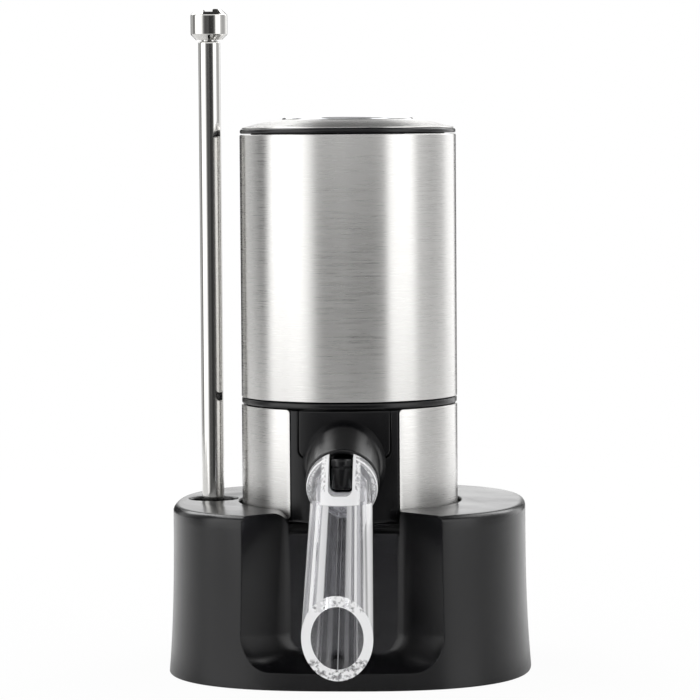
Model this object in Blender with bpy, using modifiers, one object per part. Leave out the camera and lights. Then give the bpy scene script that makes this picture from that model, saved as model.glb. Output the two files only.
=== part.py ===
"""Pump dispenser for a liquor bottle, standing in its storage base.

Metres, +Z up. The origin is on the dispenser's upright axis, at the underside
of the base's non-slip mat. The spout points along -Y, and the dip tube is
stored upright in a hole of the base at -X.
"""

import math

import bmesh
import bpy
from mathutils import Matrix, Vector
from mathutils.geometry import interpolate_bezier

# Gaps and facets
gap = 0.0003
overrun = 0.002
seam = 0.00025
merge_distance = 0.00001
round_steps = 44
hidden_steps = 32
medium_steps = 22
small_steps = 10
arc_steps = 3
chamfer_below = 0.0009

# Storage base
mat_thickness = 0.0009
mat_inset = 0.0065
shell_foot_z = 0.0002
base_height = 0.041
base_edge_width = 0.0031
base_front_reach = 0.0151
base_flare = 0.0013
base_flare_power = 2.8
base_outline_power = 2.6
base_rim_round = 0.0016
base_wall = 0.0024
deck_thickness = 0.0024
plate_thickness = 0.0012
lip_height = 0.0043
seat_depth = 0.0035
socket_clearance = 0.0008
well_radius = 0.016
well_wall = 0.002
channel_spread = 0.01055
channel_depth = 0.01
channel_back_clearance = 0.0015
channel_front_round = 0.0092
channel_back_round = 0.0055
channel_back_rise = 0.0022
channel_wall = 0.0016
back_wall_drop = 0.005
left_shoulder_round = 0.004
right_shoulder_round = 0.001
base_boss_radius = 0.0033
boss_front_side_inset = 0.0106
base_boss_front_y = 0.016
boss_back_side_inset = 0.0171
boss_back_inset = 0.0176
base_screw_radius = 0.0011
base_screw_length = 0.008
base_screw_head_radius = 0.0022
base_screw_head_height = 0.0007

# Dip tube
tube_beside_body = 0.0076
tube_y = 0.003
tube_radius = 0.0027
tube_wall = 0.00035
tube_top_z = 0.1538
tube_shoulder_round = 0.0005
inner_tube_radius = 0.00185
inner_tube_wall = 0.0004
inner_tube_lap = 0.004
guide_hole_radius = 0.0059
guide_wall = 0.0018
inlet_radius = 0.00453
inlet_height = 0.0076
inlet_chamfer = 0.0014
inlet_slot_width = 0.0024
inlet_slot_depth = 0.0007
inlet_bore_radius = 0.0016
connector_radius = 0.0037
connector_length = 0.009
connector_collar = 0.0009
slide_bush_length = 0.006

# Dispenser body
body_radius = 0.0265
steel_wall = 0.0006
foot_flange_height = 0.0005
lower_body_height = 0.0271
band_height = 0.0014
seam_gap = 0.0003
sleeve_above_board = 0.0021
housing_wall = 0.0016
floor_thickness = 0.0022
panel_half_width = 0.0129
panel_recess = 0.0001
inset_margin = 0.002
inset_side_foot_rise = 0.0157
inset_corner_round = 0.002
inset_lobe_margin = 0.00045
inset_lobe_rise = 0.0131

# Hood and nozzle
hood_tilt = math.radians(20)
hood_rim_reach = 0.0065
hood_rim_rise = 0.0105
hood_radius = 0.00875
hood_wall = 0.00145
hood_rim_round = 0.0005
hood_cup_depth = 0.0038
hood_root_half_width = 0.00995
hood_root_half_height = 0.0106
hood_root_rise = 0.0038
hood_shoulder_reach = 0.0008
hood_shoulder_round = 0.002
hood_length = 0.013
nozzle_radius = 0.0024
nozzle_bore_radius = 0.0014
nozzle_drop_radius = 0.0016
nozzle_reach = 0.0035
nozzle_foot_drop = 0.001
nozzle_top_rise = 0.0062
nozzle_feed_rise = 0.003
nozzle_feed_radius = 0.0022
nozzle_feed_length = 0.0225
nozzle_chamfer = 0.0005
nozzle_groove_rise = 0.0042
nozzle_groove_width = 0.0005
nozzle_groove_depth = 0.0003

# Clear spout
spout_flange_radius = 0.00845
spout_flange_thickness = 0.003
spout_flange_round = 0.0004
spout_angle = math.radians(53.5)
spout_top_radius = 0.0072
spout_tip_radius = 0.0083
spout_top_bore = 0.0051
spout_tip_bore = 0.0061
spout_length = 0.0405
spout_tip_angle = math.radians(18)
notch_half_width = 0.00285
notch_foot_drop = 0.0019
notch_round = 0.0016

# Stopper
core_radius = 0.007
core_drop = 0.0253
core_collar_radius = 0.008
core_thread_height = 0.0033
tube_socket_depth = 0.012
liquid_bore_radius = 0.0015
liquid_barb_radius = 0.0024
liquid_barb_height = 0.004
air_barb_x = 0.006
air_barb_radius = 0.0009
air_bore_radius = 0.0005
air_barb_height = 0.0028
nut_radius = 0.0105
nut_height = 0.0024
seal_flange_radius = 0.013
seal_flange_height = 0.003
seal_body_radius = 0.0089
seal_rib_radius = 0.0106
seal_rib_taper = 0.0003
seal_rib_height = 0.0018
seal_rib_pitch = 0.0058
seal_first_rib_drop = 0.0036
seal_rib_count = 3
seal_drop = 0.0223

# Pump and motor
deck_above_floor = 0.0036
pump_deck_thickness = 0.0014
ledge_width = 0.0022
pump_front_y = 0.0042
pump_wall_clearance = 0.004
valve_plate_height = 0.003
diaphragm_height = 0.0012
pump_body_height = 0.008
pump_wall = 0.0018
pump_roof = 0.0012
motor_height = 0.0115
motor_round = 0.0008
shaft_radius = 0.0008
shaft_in_motor = 0.006
crank_radius = 0.0036
crank_height = 0.0028
crank_offset = 0.0012
running_gap = 0.0003
hose_wall = 0.0008
liquid_hose_bore = 0.0028
air_hose_bore = 0.0012
hose_bend = 0.004
air_hose_swing_share = 1.2
air_hose_rise_share = 2.6

# Bayonet joint
collar_clearance = 0.0005
collar_wall = 0.0015
collar_rise = 0.0054
collar_drop = 0.0067
lug_reach = 0.0008
lug_height = 0.0014
lug_rise = 0.0027
lug_width = 0.005
lug_count = 3
groove_clearance = 0.0003
entry_clearance = 0.0005
twist_to_open = math.radians(30)
transfer_board_thickness = 0.0012
transfer_board_width = 0.0075
board_ledge_width = 0.0016
pin_radius = 0.0009
pin_inset = 0.0057
pin_height = 0.0035

# Battery compartment
partition_above_collar = 0.0026
partition_thickness = 0.0014
battery_radius = 0.00525
battery_length = 0.0445
battery_offset = 0.0068
battery_nub_radius = 0.0019
battery_nub_height = 0.0008
carrier_clearance = 0.004
carrier_plate = 0.0015
carrier_web = 0.0016
contact_thickness = 0.0004
contact_width = 0.006

# Control board, cap and button
board_clearance = 0.0008
board_thickness = 0.0016
board_ledge_height = 0.002
board_ledge_inset = 0.0024
switch_width = 0.006
switch_height = 0.0014
plunger_radius = 0.0015
plunger_height = 0.0006
chip_length = 0.008
chip_width = 0.005
chip_height = 0.0012
cap_ring_height = 0.0011
cap_ring_skirt_wall = 0.0015
cap_inset = 0.0008
cap_shoulder_width = 0.0047
cap_shoulder_rise = 0.0013
cap_crown_rise = 0.002
cap_edge_rise = 0.0002
button_radius = 0.016
button_clearance = 0.0003
button_crown_rise = 0.0019
button_edge_height = 0.0008
button_travel = 0.0012
button_skirt_wall = 0.0012
button_skirt_depth = 0.0012
button_stem_radius = 0.0018
spring_wire_radius = 0.00025
spring_radius = 0.0052
spring_turns = 3
spring_points_per_turn = 10

# Levels and places that follow from the sizes above
plate_z = mat_thickness + gap
plate_top_z = plate_z + plate_thickness
inner_foot_z = plate_top_z + gap
seat_z = base_height - seat_depth
socket_radius = body_radius + socket_clearance
back_wall_top_z = base_height - back_wall_drop
steel_inner_radius = body_radius - steel_wall
housing_radius = steel_inner_radius - gap
housing_inner_radius = housing_radius - housing_wall
tube_x = body_radius + tube_beside_body
base_top_half_width = tube_x + guide_hole_radius + base_edge_width
base_top_half_depth = body_radius + base_front_reach
base_boss_x = base_top_half_width - boss_front_side_inset
base_boss_back_x = base_top_half_width - boss_back_side_inset
base_boss_back_y = base_top_half_depth - boss_back_inset
channel_back_half_width = panel_half_width + gap
channel_back_y = body_radius + channel_back_clearance
channel_corner_x = channel_back_half_width + channel_spread
channel_corner_y = channel_back_y + channel_depth
body_foot_z = seat_z + gap
floor_top_z = body_foot_z + floor_thickness
lower_top_z = body_foot_z + lower_body_height
inset_half_width = panel_half_width - inset_margin
inset_side_foot_z = body_foot_z + inset_side_foot_rise
inset_lobe_radius = hood_radius + inset_lobe_margin
inset_lobe_z = body_foot_z + inset_lobe_rise
hood_rim_y = body_radius + hood_rim_reach
hood_rim_z = body_foot_z + hood_rim_rise
nozzle_y = hood_rim_y + nozzle_reach
nozzle_inner_y = nozzle_y - nozzle_feed_length
nozzle_foot_z = hood_rim_z - nozzle_foot_drop
nozzle_top_z = hood_rim_z + nozzle_top_rise
nozzle_feed_z = hood_rim_z + nozzle_feed_rise
nozzle_groove_z = hood_rim_z + nozzle_groove_rise
notch_foot_z = hood_rim_z - notch_foot_drop
core_foot_z = body_foot_z - core_drop
core_shoulder_z = body_foot_z - gap - seal_flange_height
seal_foot_z = body_foot_z - seal_drop
deck_z = floor_top_z + deck_above_floor
valve_plate_z = deck_z + pump_deck_thickness + gap
diaphragm_z = valve_plate_z + valve_plate_height + gap
pump_body_z = diaphragm_z + diaphragm_height + gap
motor_z = pump_body_z + pump_body_height + gap
pump_radius = (housing_inner_radius - pump_wall_clearance - pump_front_y) / 2
pump_y = pump_front_y + pump_radius
pump_cavity_radius = pump_radius - pump_wall
band_foot_z = lower_top_z + seam_gap
band_top_z = band_foot_z + band_height
upper_foot_z = band_top_z + seam_gap
collar_outer_radius = housing_inner_radius - collar_clearance
collar_top_z = band_top_z + collar_rise
collar_foot_z = band_foot_z - collar_drop
lug_z = band_top_z + lug_rise
transfer_board_inner = collar_outer_radius - collar_wall - transfer_board_width
pin_circle = collar_outer_radius - pin_inset
partition_z = collar_top_z + partition_above_collar
partition_top_z = partition_z + partition_thickness
carrier_radius = housing_inner_radius - carrier_clearance
carrier_foot_z = partition_top_z + gap
contact_foot_z = carrier_foot_z + carrier_plate + gap
battery_foot_z = contact_foot_z + contact_thickness + gap
battery_top_z = battery_foot_z + battery_length
upper_contact_z = battery_top_z + gap
carrier_lid_z = upper_contact_z + contact_thickness + gap
carrier_top_z = carrier_lid_z + carrier_plate
board_radius = housing_inner_radius - board_clearance
board_ledge_radius = housing_inner_radius - board_ledge_inset
board_z = carrier_top_z + gap + board_ledge_height / 2
board_top_z = board_z + board_thickness
upper_top_z = board_top_z + sleeve_above_board
cap_ring_radius = body_radius - gap
cap_ring_z = upper_top_z + gap
cap_ring_top_z = cap_ring_z + cap_ring_height
cap_radius = body_radius - cap_inset
cap_shoulder_radius = cap_radius - cap_shoulder_width
cap_hole_radius = button_radius + button_clearance
cap_z = cap_ring_top_z + gap
cap_crown_z = cap_z + cap_crown_rise
button_edge_z = cap_crown_z + gap / 3

# Directions in the plane of the spout: along the hood, along the spout
hood_way = Vector((0, -math.cos(hood_tilt), -math.sin(hood_tilt)))
spout_way = Vector((0, -math.cos(spout_angle), -math.sin(spout_angle)))
tip_way = Vector((0, -math.cos(spout_tip_angle), -math.sin(spout_tip_angle)))
hood_rim = Vector((0, -hood_rim_y, hood_rim_z))
flange_back = hood_rim + hood_way * gap
flange_front = flange_back + hood_way * spout_flange_thickness


def clear_scene():
    for obj in list(bpy.data.objects):
        bpy.data.objects.remove(obj, do_unlink=True)


def new_collection(name):
    collection = bpy.data.collections.new(name)
    bpy.context.scene.collection.children.link(collection)
    return collection


def linear(hex_colour):
    channels = [int(hex_colour[i : i + 2], 16) / 255 for i in (1, 3, 5)]
    return [c / 12.92 if c <= 0.04045 else ((c + 0.055) / 1.055) ** 2.4 for c in channels] + [1]


def new_material(name, hex_colour, metallic, roughness, transmission=0.0):
    material = bpy.data.materials.new(name)
    material.use_nodes = True
    shader = material.node_tree.nodes["Principled BSDF"]
    shader.inputs["Base Color"].default_value = linear(hex_colour)
    shader.inputs["Metallic"].default_value = metallic
    shader.inputs["Roughness"].default_value = roughness
    shader.inputs["Transmission Weight"].default_value = transmission
    return material


clear_scene()
parts = new_collection("liquor_dispenser")
cutters = new_collection("cutters")

black_abs = new_material("satin_black_abs", "#1C1C1F", 0, 0.38)
dark_abs = new_material("inner_black_abs", "#26262A", 0, 0.55)
brushed_steel = new_material("brushed_stainless_steel", "#C9C9CC", 1, 0.28)
polished_steel = new_material("polished_stainless_steel", "#D2D2D4", 1, 0.12)
chrome = new_material("chrome_plate", "#E4E4E6", 1, 0.06)
clear_acrylic = new_material("clear_acrylic", "#F4F7F8", 0, 0.03, 1.0)
silicone = new_material("grey_silicone", "#3A3A3E", 0, 0.6)
clear_hose = new_material("translucent_silicone", "#D9DBDC", 0, 0.35)
mat_rubber = new_material("mat_rubber", "#202022", 0, 0.85)
zinc_screw = new_material("zinc_plated_steel", "#B5B7BA", 1, 0.35)
spring_steel = new_material("spring_steel", "#A8AAAE", 1, 0.3)
brass = new_material("brass", "#C9A24B", 1, 0.3)
green_board = new_material("green_circuit_board", "#1F5A38", 0, 0.45)
black_chip = new_material("black_component", "#18181A", 0, 0.5)
battery_wrap = new_material("plain_battery_sleeve", "#5C6470", 0, 0.35)
motor_steel = new_material("motor_can_steel", "#A2A4A8", 1, 0.32)
pump_plastic = new_material("pale_pump_plastic", "#D8D8D2", 0, 0.45)


def empty(name, location, parent=None):
    pivot = bpy.data.objects.new(name, None)
    pivot.empty_display_size = body_radius
    parts.objects.link(pivot)
    pivot.parent = parent
    pivot.location = location
    return pivot


def add_object(name, mesh, material, parent=None, location=(0, 0, 0)):
    """A part where a material is given, and otherwise a cutter or guide."""
    obj = bpy.data.objects.new(name, mesh)
    obj.parent = parent
    obj.location = location
    if material:
        mesh.materials.append(material)
        parts.objects.link(obj)
    else:
        obj.hide_render = True
        obj.display_type = "WIRE"
        cutters.objects.link(obj)
    return obj


def smooth(mesh):
    mesh.shade_smooth()
    mesh.set_sharp_from_angle(angle=math.radians(35))


def mesh_from(bm, name):
    bmesh.ops.recalc_face_normals(bm, faces=bm.faces)
    mesh = bpy.data.meshes.new(name)
    bm.to_mesh(mesh)
    bm.free()
    smooth(mesh)
    return mesh


def rounded(corners, closed):
    """The points of a line through (a, b, round) corners, each round an arc."""
    points = []
    last = len(corners) - 1
    for i, (a, b, radius) in enumerate(corners):
        here = Vector((a, b))
        if radius == 0 or (not closed and i in (0, last)):
            points.append(here)
            continue
        before = (Vector(corners[i - 1][:2]) - here).normalized()
        after = (Vector(corners[(i + 1) % len(corners)][:2]) - here).normalized()
        half = before.angle(after) / 2
        centre = here + (before + after).normalized() * radius / math.sin(half)
        start = here + before * radius / math.tan(half) - centre
        end = here + after * radius / math.tan(half) - centre
        start_angle = math.atan2(start.y, start.x)
        sweep = (math.atan2(end.y, end.x) - start_angle + math.pi) % math.tau - math.pi
        steps = 1 if radius < chamfer_below else arc_steps
        for k in range(steps + 1):
            angle = start_angle + sweep * k / steps
            points.append(centre + Vector((math.cos(angle), math.sin(angle))) * radius)
    return points


def turned(name, corners, material, parent=None, location=(0, 0, 0), steps=round_steps, closed=True):
    """A turned piece from (radius, z, round) corners, its outer side from top to bottom."""
    points = rounded(corners, closed)
    edges = [(i, i + 1) for i in range(len(points) - 1)]
    if closed:
        edges.append((len(points) - 1, 0))
    mesh = bpy.data.meshes.new(name)
    mesh.from_pydata([(p.x, 0, p.y) for p in points], edges, [])
    obj = add_object(name, mesh, material, parent, location)
    turn = obj.modifiers.new("Turn", "SCREW")
    turn.steps = steps
    turn.render_steps = steps
    turn.use_merge_vertices = True
    turn.merge_threshold = merge_distance
    turn.use_smooth_shade = True
    return obj


def ring(name, outer, inner, low, high, material, edge=0.0, **place):
    """A plain tube between two radii and two heights."""
    corners = [(outer, high, edge), (outer, low, edge), (inner, low, 0), (inner, high, 0)]
    return turned(name, corners, material, **place)


def rod(name, radius, low, high, material, edge=0.0, **place):
    """A plain solid cylinder between two heights."""
    corners = [(0, high, 0), (radius, high, edge), (radius, low, edge), (0, low, 0)]
    return turned(name, corners, material, closed=False, **place)


def box(name, size, centre, material, parent=None):
    bm = bmesh.new()
    bmesh.ops.create_cube(bm, size=1)
    bmesh.ops.scale(bm, vec=size, verts=bm.verts)
    return add_object(name, mesh_from(bm, name), material, parent, centre)


def slab(name, corners, low, high, material, across="Z", parent=None, closed=True):
    """A flat outline of (a, b, round) corners, given its thickness along Z, or along Y."""
    bm = bmesh.new()
    points = rounded(corners, closed)
    if across == "Z":
        foot = [bm.verts.new((p.x, p.y, low)) for p in points]
        lift = Vector((0, 0, high - low))
    else:
        foot = [bm.verts.new((p.x, low, p.y)) for p in points]
        lift = Vector((0, high - low, 0))
    face = bm.faces.new(foot)
    grown = bmesh.ops.extrude_face_region(bm, geom=[face])
    moved = [v for v in grown["geom"] if isinstance(v, bmesh.types.BMVert)]
    bmesh.ops.translate(bm, vec=lift, verts=moved)
    return add_object(name, mesh_from(bm, name), material, parent)


def loft(name, rings, material, parent=None):
    """A closed form through rings of points, all with the same count."""
    bm = bmesh.new()
    loops = [[bm.verts.new(point) for point in points] for points in rings]
    count = len(loops[0])
    for low, high in zip(loops, loops[1:]):
        for i in range(count):
            j = (i + 1) % count
            bm.faces.new((low[i], low[j], high[j], high[i]))
    bm.faces.new(loops[0])
    bm.faces.new(loops[-1])
    return add_object(name, mesh_from(bm, name), material, parent)


def point_along(obj, origin, way):
    """Turns a piece made along +Z so that its Z runs along way from origin."""
    obj.matrix_local = Matrix.Translation(origin) @ way.to_track_quat("Z", "Y").to_matrix().to_4x4()
    return obj


def combine(obj, operation, *tools):
    for tool in tools:
        step = obj.modifiers.new(operation.lower() + "_" + tool.name, "BOOLEAN")
        step.operation = operation
        step.object = tool
        step.solver = "EXACT"
    return obj


def cut(obj, *tools):
    return combine(obj, "DIFFERENCE", *tools)


def join(obj, *tools):
    return combine(obj, "UNION", *tools)


def keep_inside(obj, *tools):
    return combine(obj, "INTERSECT", *tools)


def tube_along(name, points, radius, bore, material, parent=None):
    """A hose with its bore, along a line of points."""
    meshes = []
    stretch = [points[0] + (points[0] - points[1]).normalized() * overrun]
    stretch += points[1:-1] + [points[-1] + (points[-1] - points[-2]).normalized() * overrun]
    for line, size in ((points, radius), (stretch, bore)):
        curve = bpy.data.curves.new(name, "CURVE")
        curve.dimensions = "3D"
        spline = curve.splines.new("POLY")
        spline.points.add(len(line) - 1)
        for place, point in zip(spline.points, line):
            place.co = (*point, 1)
        curve.bevel_depth = size
        curve.bevel_resolution = 3
        curve.render_resolution_u = 0
        curve.use_fill_caps = True
        guide = bpy.data.objects.new(name + "_guide", curve)
        bpy.context.scene.collection.objects.link(guide)
        bpy.context.view_layer.update()
        evaluated = guide.evaluated_get(bpy.context.evaluated_depsgraph_get())
        mesh = bpy.data.meshes.new_from_object(evaluated)
        bpy.data.objects.remove(guide, do_unlink=True)
        bm = bmesh.new()
        bm.from_mesh(mesh)
        bmesh.ops.remove_doubles(bm, verts=bm.verts, dist=merge_distance)
        bpy.data.meshes.remove(mesh)
        meshes.append(mesh_from(bm, name))
    hose = add_object(name, meshes[0], material, parent)
    if bore:
        cut(hose, add_object(name + "_bore", meshes[1], None, parent))
    return hose


def base_half_sizes(z, inset):
    """Half the base's width and depth at a height, its sides flaring towards the foot."""
    share = 1 - min(max(z / base_height, 0), 1)
    flare = base_flare * share**base_flare_power
    return base_top_half_width + flare - inset, base_top_half_depth + flare - inset


def base_ring(z, inset):
    """The base's outline at a height, moved in by inset: an ellipse drawn towards a rectangle."""
    half_width, half_depth = base_half_sizes(z, inset)
    points = []
    for k in range(round_steps):
        angle = math.tau * k / round_steps
        across, along = math.cos(angle), math.sin(angle)
        x = math.copysign(abs(across) ** (2 / base_outline_power), across) * half_width
        y = math.copysign(abs(along) ** (2 / base_outline_power), along) * half_depth
        points.append((x, y, z))
    return points


# Storage base

def build_base():
    """Moulded shell with the body's seat, the stopper's well, the spout's channel and the tube's hole."""
    top = base_height
    level_shares = (0, 0.06, 0.14, 0.26, 0.45, 0.7)
    levels = [shell_foot_z + (top - base_rim_round - shell_foot_z) * share for share in level_shares]
    rings = [base_ring(z, 0) for z in levels]
    for k in range(arc_steps + 1):
        angle = math.pi / 2 * k / arc_steps
        z = top - base_rim_round * (1 - math.sin(angle))
        rings.append(base_ring(z, base_rim_round * (1 - math.cos(angle))))
    shell = loft("base_shell", rings, black_abs)

    hollow_top = top - deck_thickness
    hollow = loft(
        "base_hollow",
        [base_ring(z, base_wall) for z in (shell_foot_z - overrun, levels[2], levels[4], hollow_top)],
        None,
    )
    well_outer = rod("well_outer", well_radius + well_wall, inner_foot_z, top, None)
    seat_outer = rod("seat_outer", socket_radius + well_wall, seat_z - deck_thickness, top, None)
    guide_outer = rod(
        "guide_outer", guide_hole_radius + guide_wall, inner_foot_z, top, None,
        location=(-tube_x, tube_y, 0), steps=medium_steps,
    )
    skirt_y = base_top_half_depth + base_flare
    channel_outer = channel_form("channel_outer", channel_wall, inner_foot_z, skirt_y)
    bosses = [
        rod(
            f"boss_{i + 1}", base_boss_radius, inner_foot_z, top, None,
            location=(x, y, 0), steps=small_steps,
        )
        for i, (x, y) in enumerate(boss_places())
    ]
    step_back_y = math.sqrt(socket_radius**2 - channel_back_half_width**2) - overrun
    ledge_half = channel_back_half_width + channel_wall
    ledge_foot = back_wall_top_z - deck_thickness
    ledge_outline = [
        (-ledge_half, ledge_foot, 0), (ledge_half, ledge_foot, 0),
        (ledge_half, top, 0), (-ledge_half, top, 0),
    ]
    ledge = slab("back_wall_ledge", ledge_outline, -channel_back_y, -step_back_y, None, across="Y")
    cut(hollow, well_outer, seat_outer, guide_outer, channel_outer, ledge, *bosses)

    socket = rod("socket_cut", socket_radius, seat_z, top + overrun, None)
    well = rod("well_cut", well_radius, lip_height, top + overrun, None, steps=medium_steps)
    guide_hole = rod(
        "guide_hole", guide_hole_radius, lip_height, top + overrun, None,
        location=(-tube_x, tube_y, 0), steps=medium_steps,
    )
    channel = channel_form("channel_cut", 0, lip_height, skirt_y + overrun)
    inner = channel_back_half_width
    shoulder = [
        (inner, back_wall_top_z, 0),
        (inner, top, right_shoulder_round),
        (inner + overrun, top, 0),
        (inner + overrun, top + overrun, 0),
        (-inner - 2 * left_shoulder_round, top + overrun, 0),
        (-inner - 2 * left_shoulder_round, top, 0),
        (-inner, top, left_shoulder_round),
        (-inner, back_wall_top_z, 0),
    ]
    step = slab("back_wall_step", shoulder, -channel_back_y - overrun, -step_back_y, None, across="Y")
    cut(shell, hollow, socket, well, guide_hole, channel, step)
    screw_holes = [
        rod(
            f"boss_hole_{i + 1}", base_screw_radius + gap, inner_foot_z - overrun,
            inner_foot_z + base_screw_length, None, location=(x, y, 0), steps=small_steps,
        )
        for i, (x, y) in enumerate(boss_places())
    ]
    cut(shell, *screw_holes)

    plate = loft(
        "base_plate",
        [base_ring(z, base_wall + gap) for z in (plate_z, plate_top_z)],
        dark_abs,
    )
    mat = loft("non_slip_mat", [base_ring(z, mat_inset) for z in (0, mat_thickness)], mat_rubber)
    for i, (x, y) in enumerate(boss_places()):
        through = rod(
            f"plate_hole_{i + 1}", base_screw_radius + gap, -overrun, plate_top_z + overrun, None,
            location=(x, y, 0), steps=small_steps,
        )
        cut(plate, through)
        wide = rod(
            f"mat_hole_{i + 1}", base_screw_head_radius + gap, -overrun, plate_z, None,
            location=(x, y, 0), steps=small_steps,
        )
        cut(mat, wide)
        head_z = plate_z - gap - base_screw_head_height
        corners = [
            (0, inner_foot_z + base_screw_length - gap, 0),
            (base_screw_radius, inner_foot_z + base_screw_length - gap, 0),
            (base_screw_radius, plate_z - gap, 0),
            (base_screw_head_radius, plate_z - gap, 0),
            (base_screw_head_radius, head_z, 0),
            (0, head_z, 0),
        ]
        turned(
            f"base_screw_{i + 1}", corners, zinc_screw, location=(x, y, 0),
            steps=small_steps, closed=False,
        )


def boss_places():
    front = [(side * base_boss_x, -base_boss_front_y) for side in (-1, 1)]
    back = [(side * base_boss_back_x, base_boss_back_y) for side in (-1, 1)]
    return front + back


def channel_form(name, grow, floor_z, front_y):
    """The spout's channel: it widens from the back wall to the front and its floor falls forwards."""
    slope = (channel_corner_x - channel_back_half_width) / (channel_corner_y - channel_back_y)
    rise = channel_back_rise / (channel_corner_y - channel_back_y)
    rings = []
    for y in (channel_back_y - grow, front_y):
        half = channel_back_half_width + (y - channel_back_y) * slope + grow * math.hypot(1, slope)
        share = (y - channel_back_y) / (channel_corner_y - channel_back_y)
        corner = channel_back_round + (channel_front_round - channel_back_round) * share
        foot = floor_z + max(0, (channel_corner_y - y) * rise)
        top = base_height + (0 if grow else overrun)
        corners = [(-half, top, 0), (-half, foot, corner), (half, foot, corner), (half, top, 0)]
        rings.append([(p.x, -y, p.y) for p in rounded(corners, True)])
    return loft(name, rings, None)


# Dip tube

def build_dip_tube():
    """Telescopic steel tube standing head up in the base: outer tube, sliding inner tube, inlet head."""
    axis = empty("dip_tube_axis", (-tube_x, tube_y, 0))
    slide_axis = empty("inner_tube_axis", (0, 0, 0), axis)
    foot = lip_height + gap
    bore = tube_radius - tube_wall
    connector_top = foot + connector_length
    turned(
        "tube_connector",
        [
            (connector_radius, connector_top, connector_collar / 2),
            (connector_radius, connector_top - connector_collar * 2, 0),
            (connector_radius - connector_collar / 2, connector_top - connector_collar * 2, 0),
            (connector_radius - connector_collar / 2, foot + connector_collar * 2, 0),
            (connector_radius, foot + connector_collar * 2, 0),
            (connector_radius, foot, connector_collar / 2),
            (bore, foot, 0),
            (bore, foot + connector_collar * 2, 0),
            (tube_radius + gap, foot + connector_collar * 2, 0),
            (tube_radius + gap, connector_top, 0),
        ],
        silicone, parent=axis, steps=medium_steps,
    )
    outer_foot = foot + connector_collar * 2 + gap
    mouth = inner_tube_radius + gap
    turned(
        "outer_tube",
        [
            (tube_radius, tube_top_z, tube_shoulder_round),
            (tube_radius, outer_foot, 0),
            (bore, outer_foot, 0),
            (bore, tube_top_z - tube_shoulder_round, 0),
            (mouth, tube_top_z - tube_shoulder_round, 0),
            (mouth, tube_top_z, 0),
        ],
        polished_steel, parent=axis, steps=medium_steps,
    )
    bush_foot = outer_foot + gap
    ring(
        "slide_bush", bore - running_gap / 3, inner_tube_radius + running_gap / 3, bush_foot,
        bush_foot + slide_bush_length, silicone, parent=slide_axis, steps=medium_steps,
    )
    head_foot = tube_top_z + gap
    ring(
        "inner_tube", inner_tube_radius, inner_tube_radius - inner_tube_wall, bush_foot,
        head_foot + inner_tube_lap, polished_steel, parent=slide_axis, steps=medium_steps,
    )
    head_top = head_foot + inlet_height
    head = turned(
        "inlet_head",
        [
            (inlet_radius, head_top, inlet_chamfer),
            (inlet_radius, head_foot, inlet_chamfer),
            (inner_tube_radius + gap, head_foot, 0),
            (inner_tube_radius + gap, head_foot + inner_tube_lap + gap, 0),
            (inlet_bore_radius, head_foot + inner_tube_lap + gap, 0),
            (inlet_bore_radius, head_top, 0),
        ],
        polished_steel, parent=slide_axis, steps=medium_steps,
    )
    for i in range(2):
        slot = box(
            f"inlet_slot_{i + 1}",
            (2 * inlet_radius + overrun, inlet_slot_width, 2 * inlet_slot_depth),
            (0, 0, head_top), None, slide_axis,
        )
        slot.rotation_euler.z = math.pi / 2 * i
        cut(head, slot)


# Stopper, hoses and the liquid's way

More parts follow.
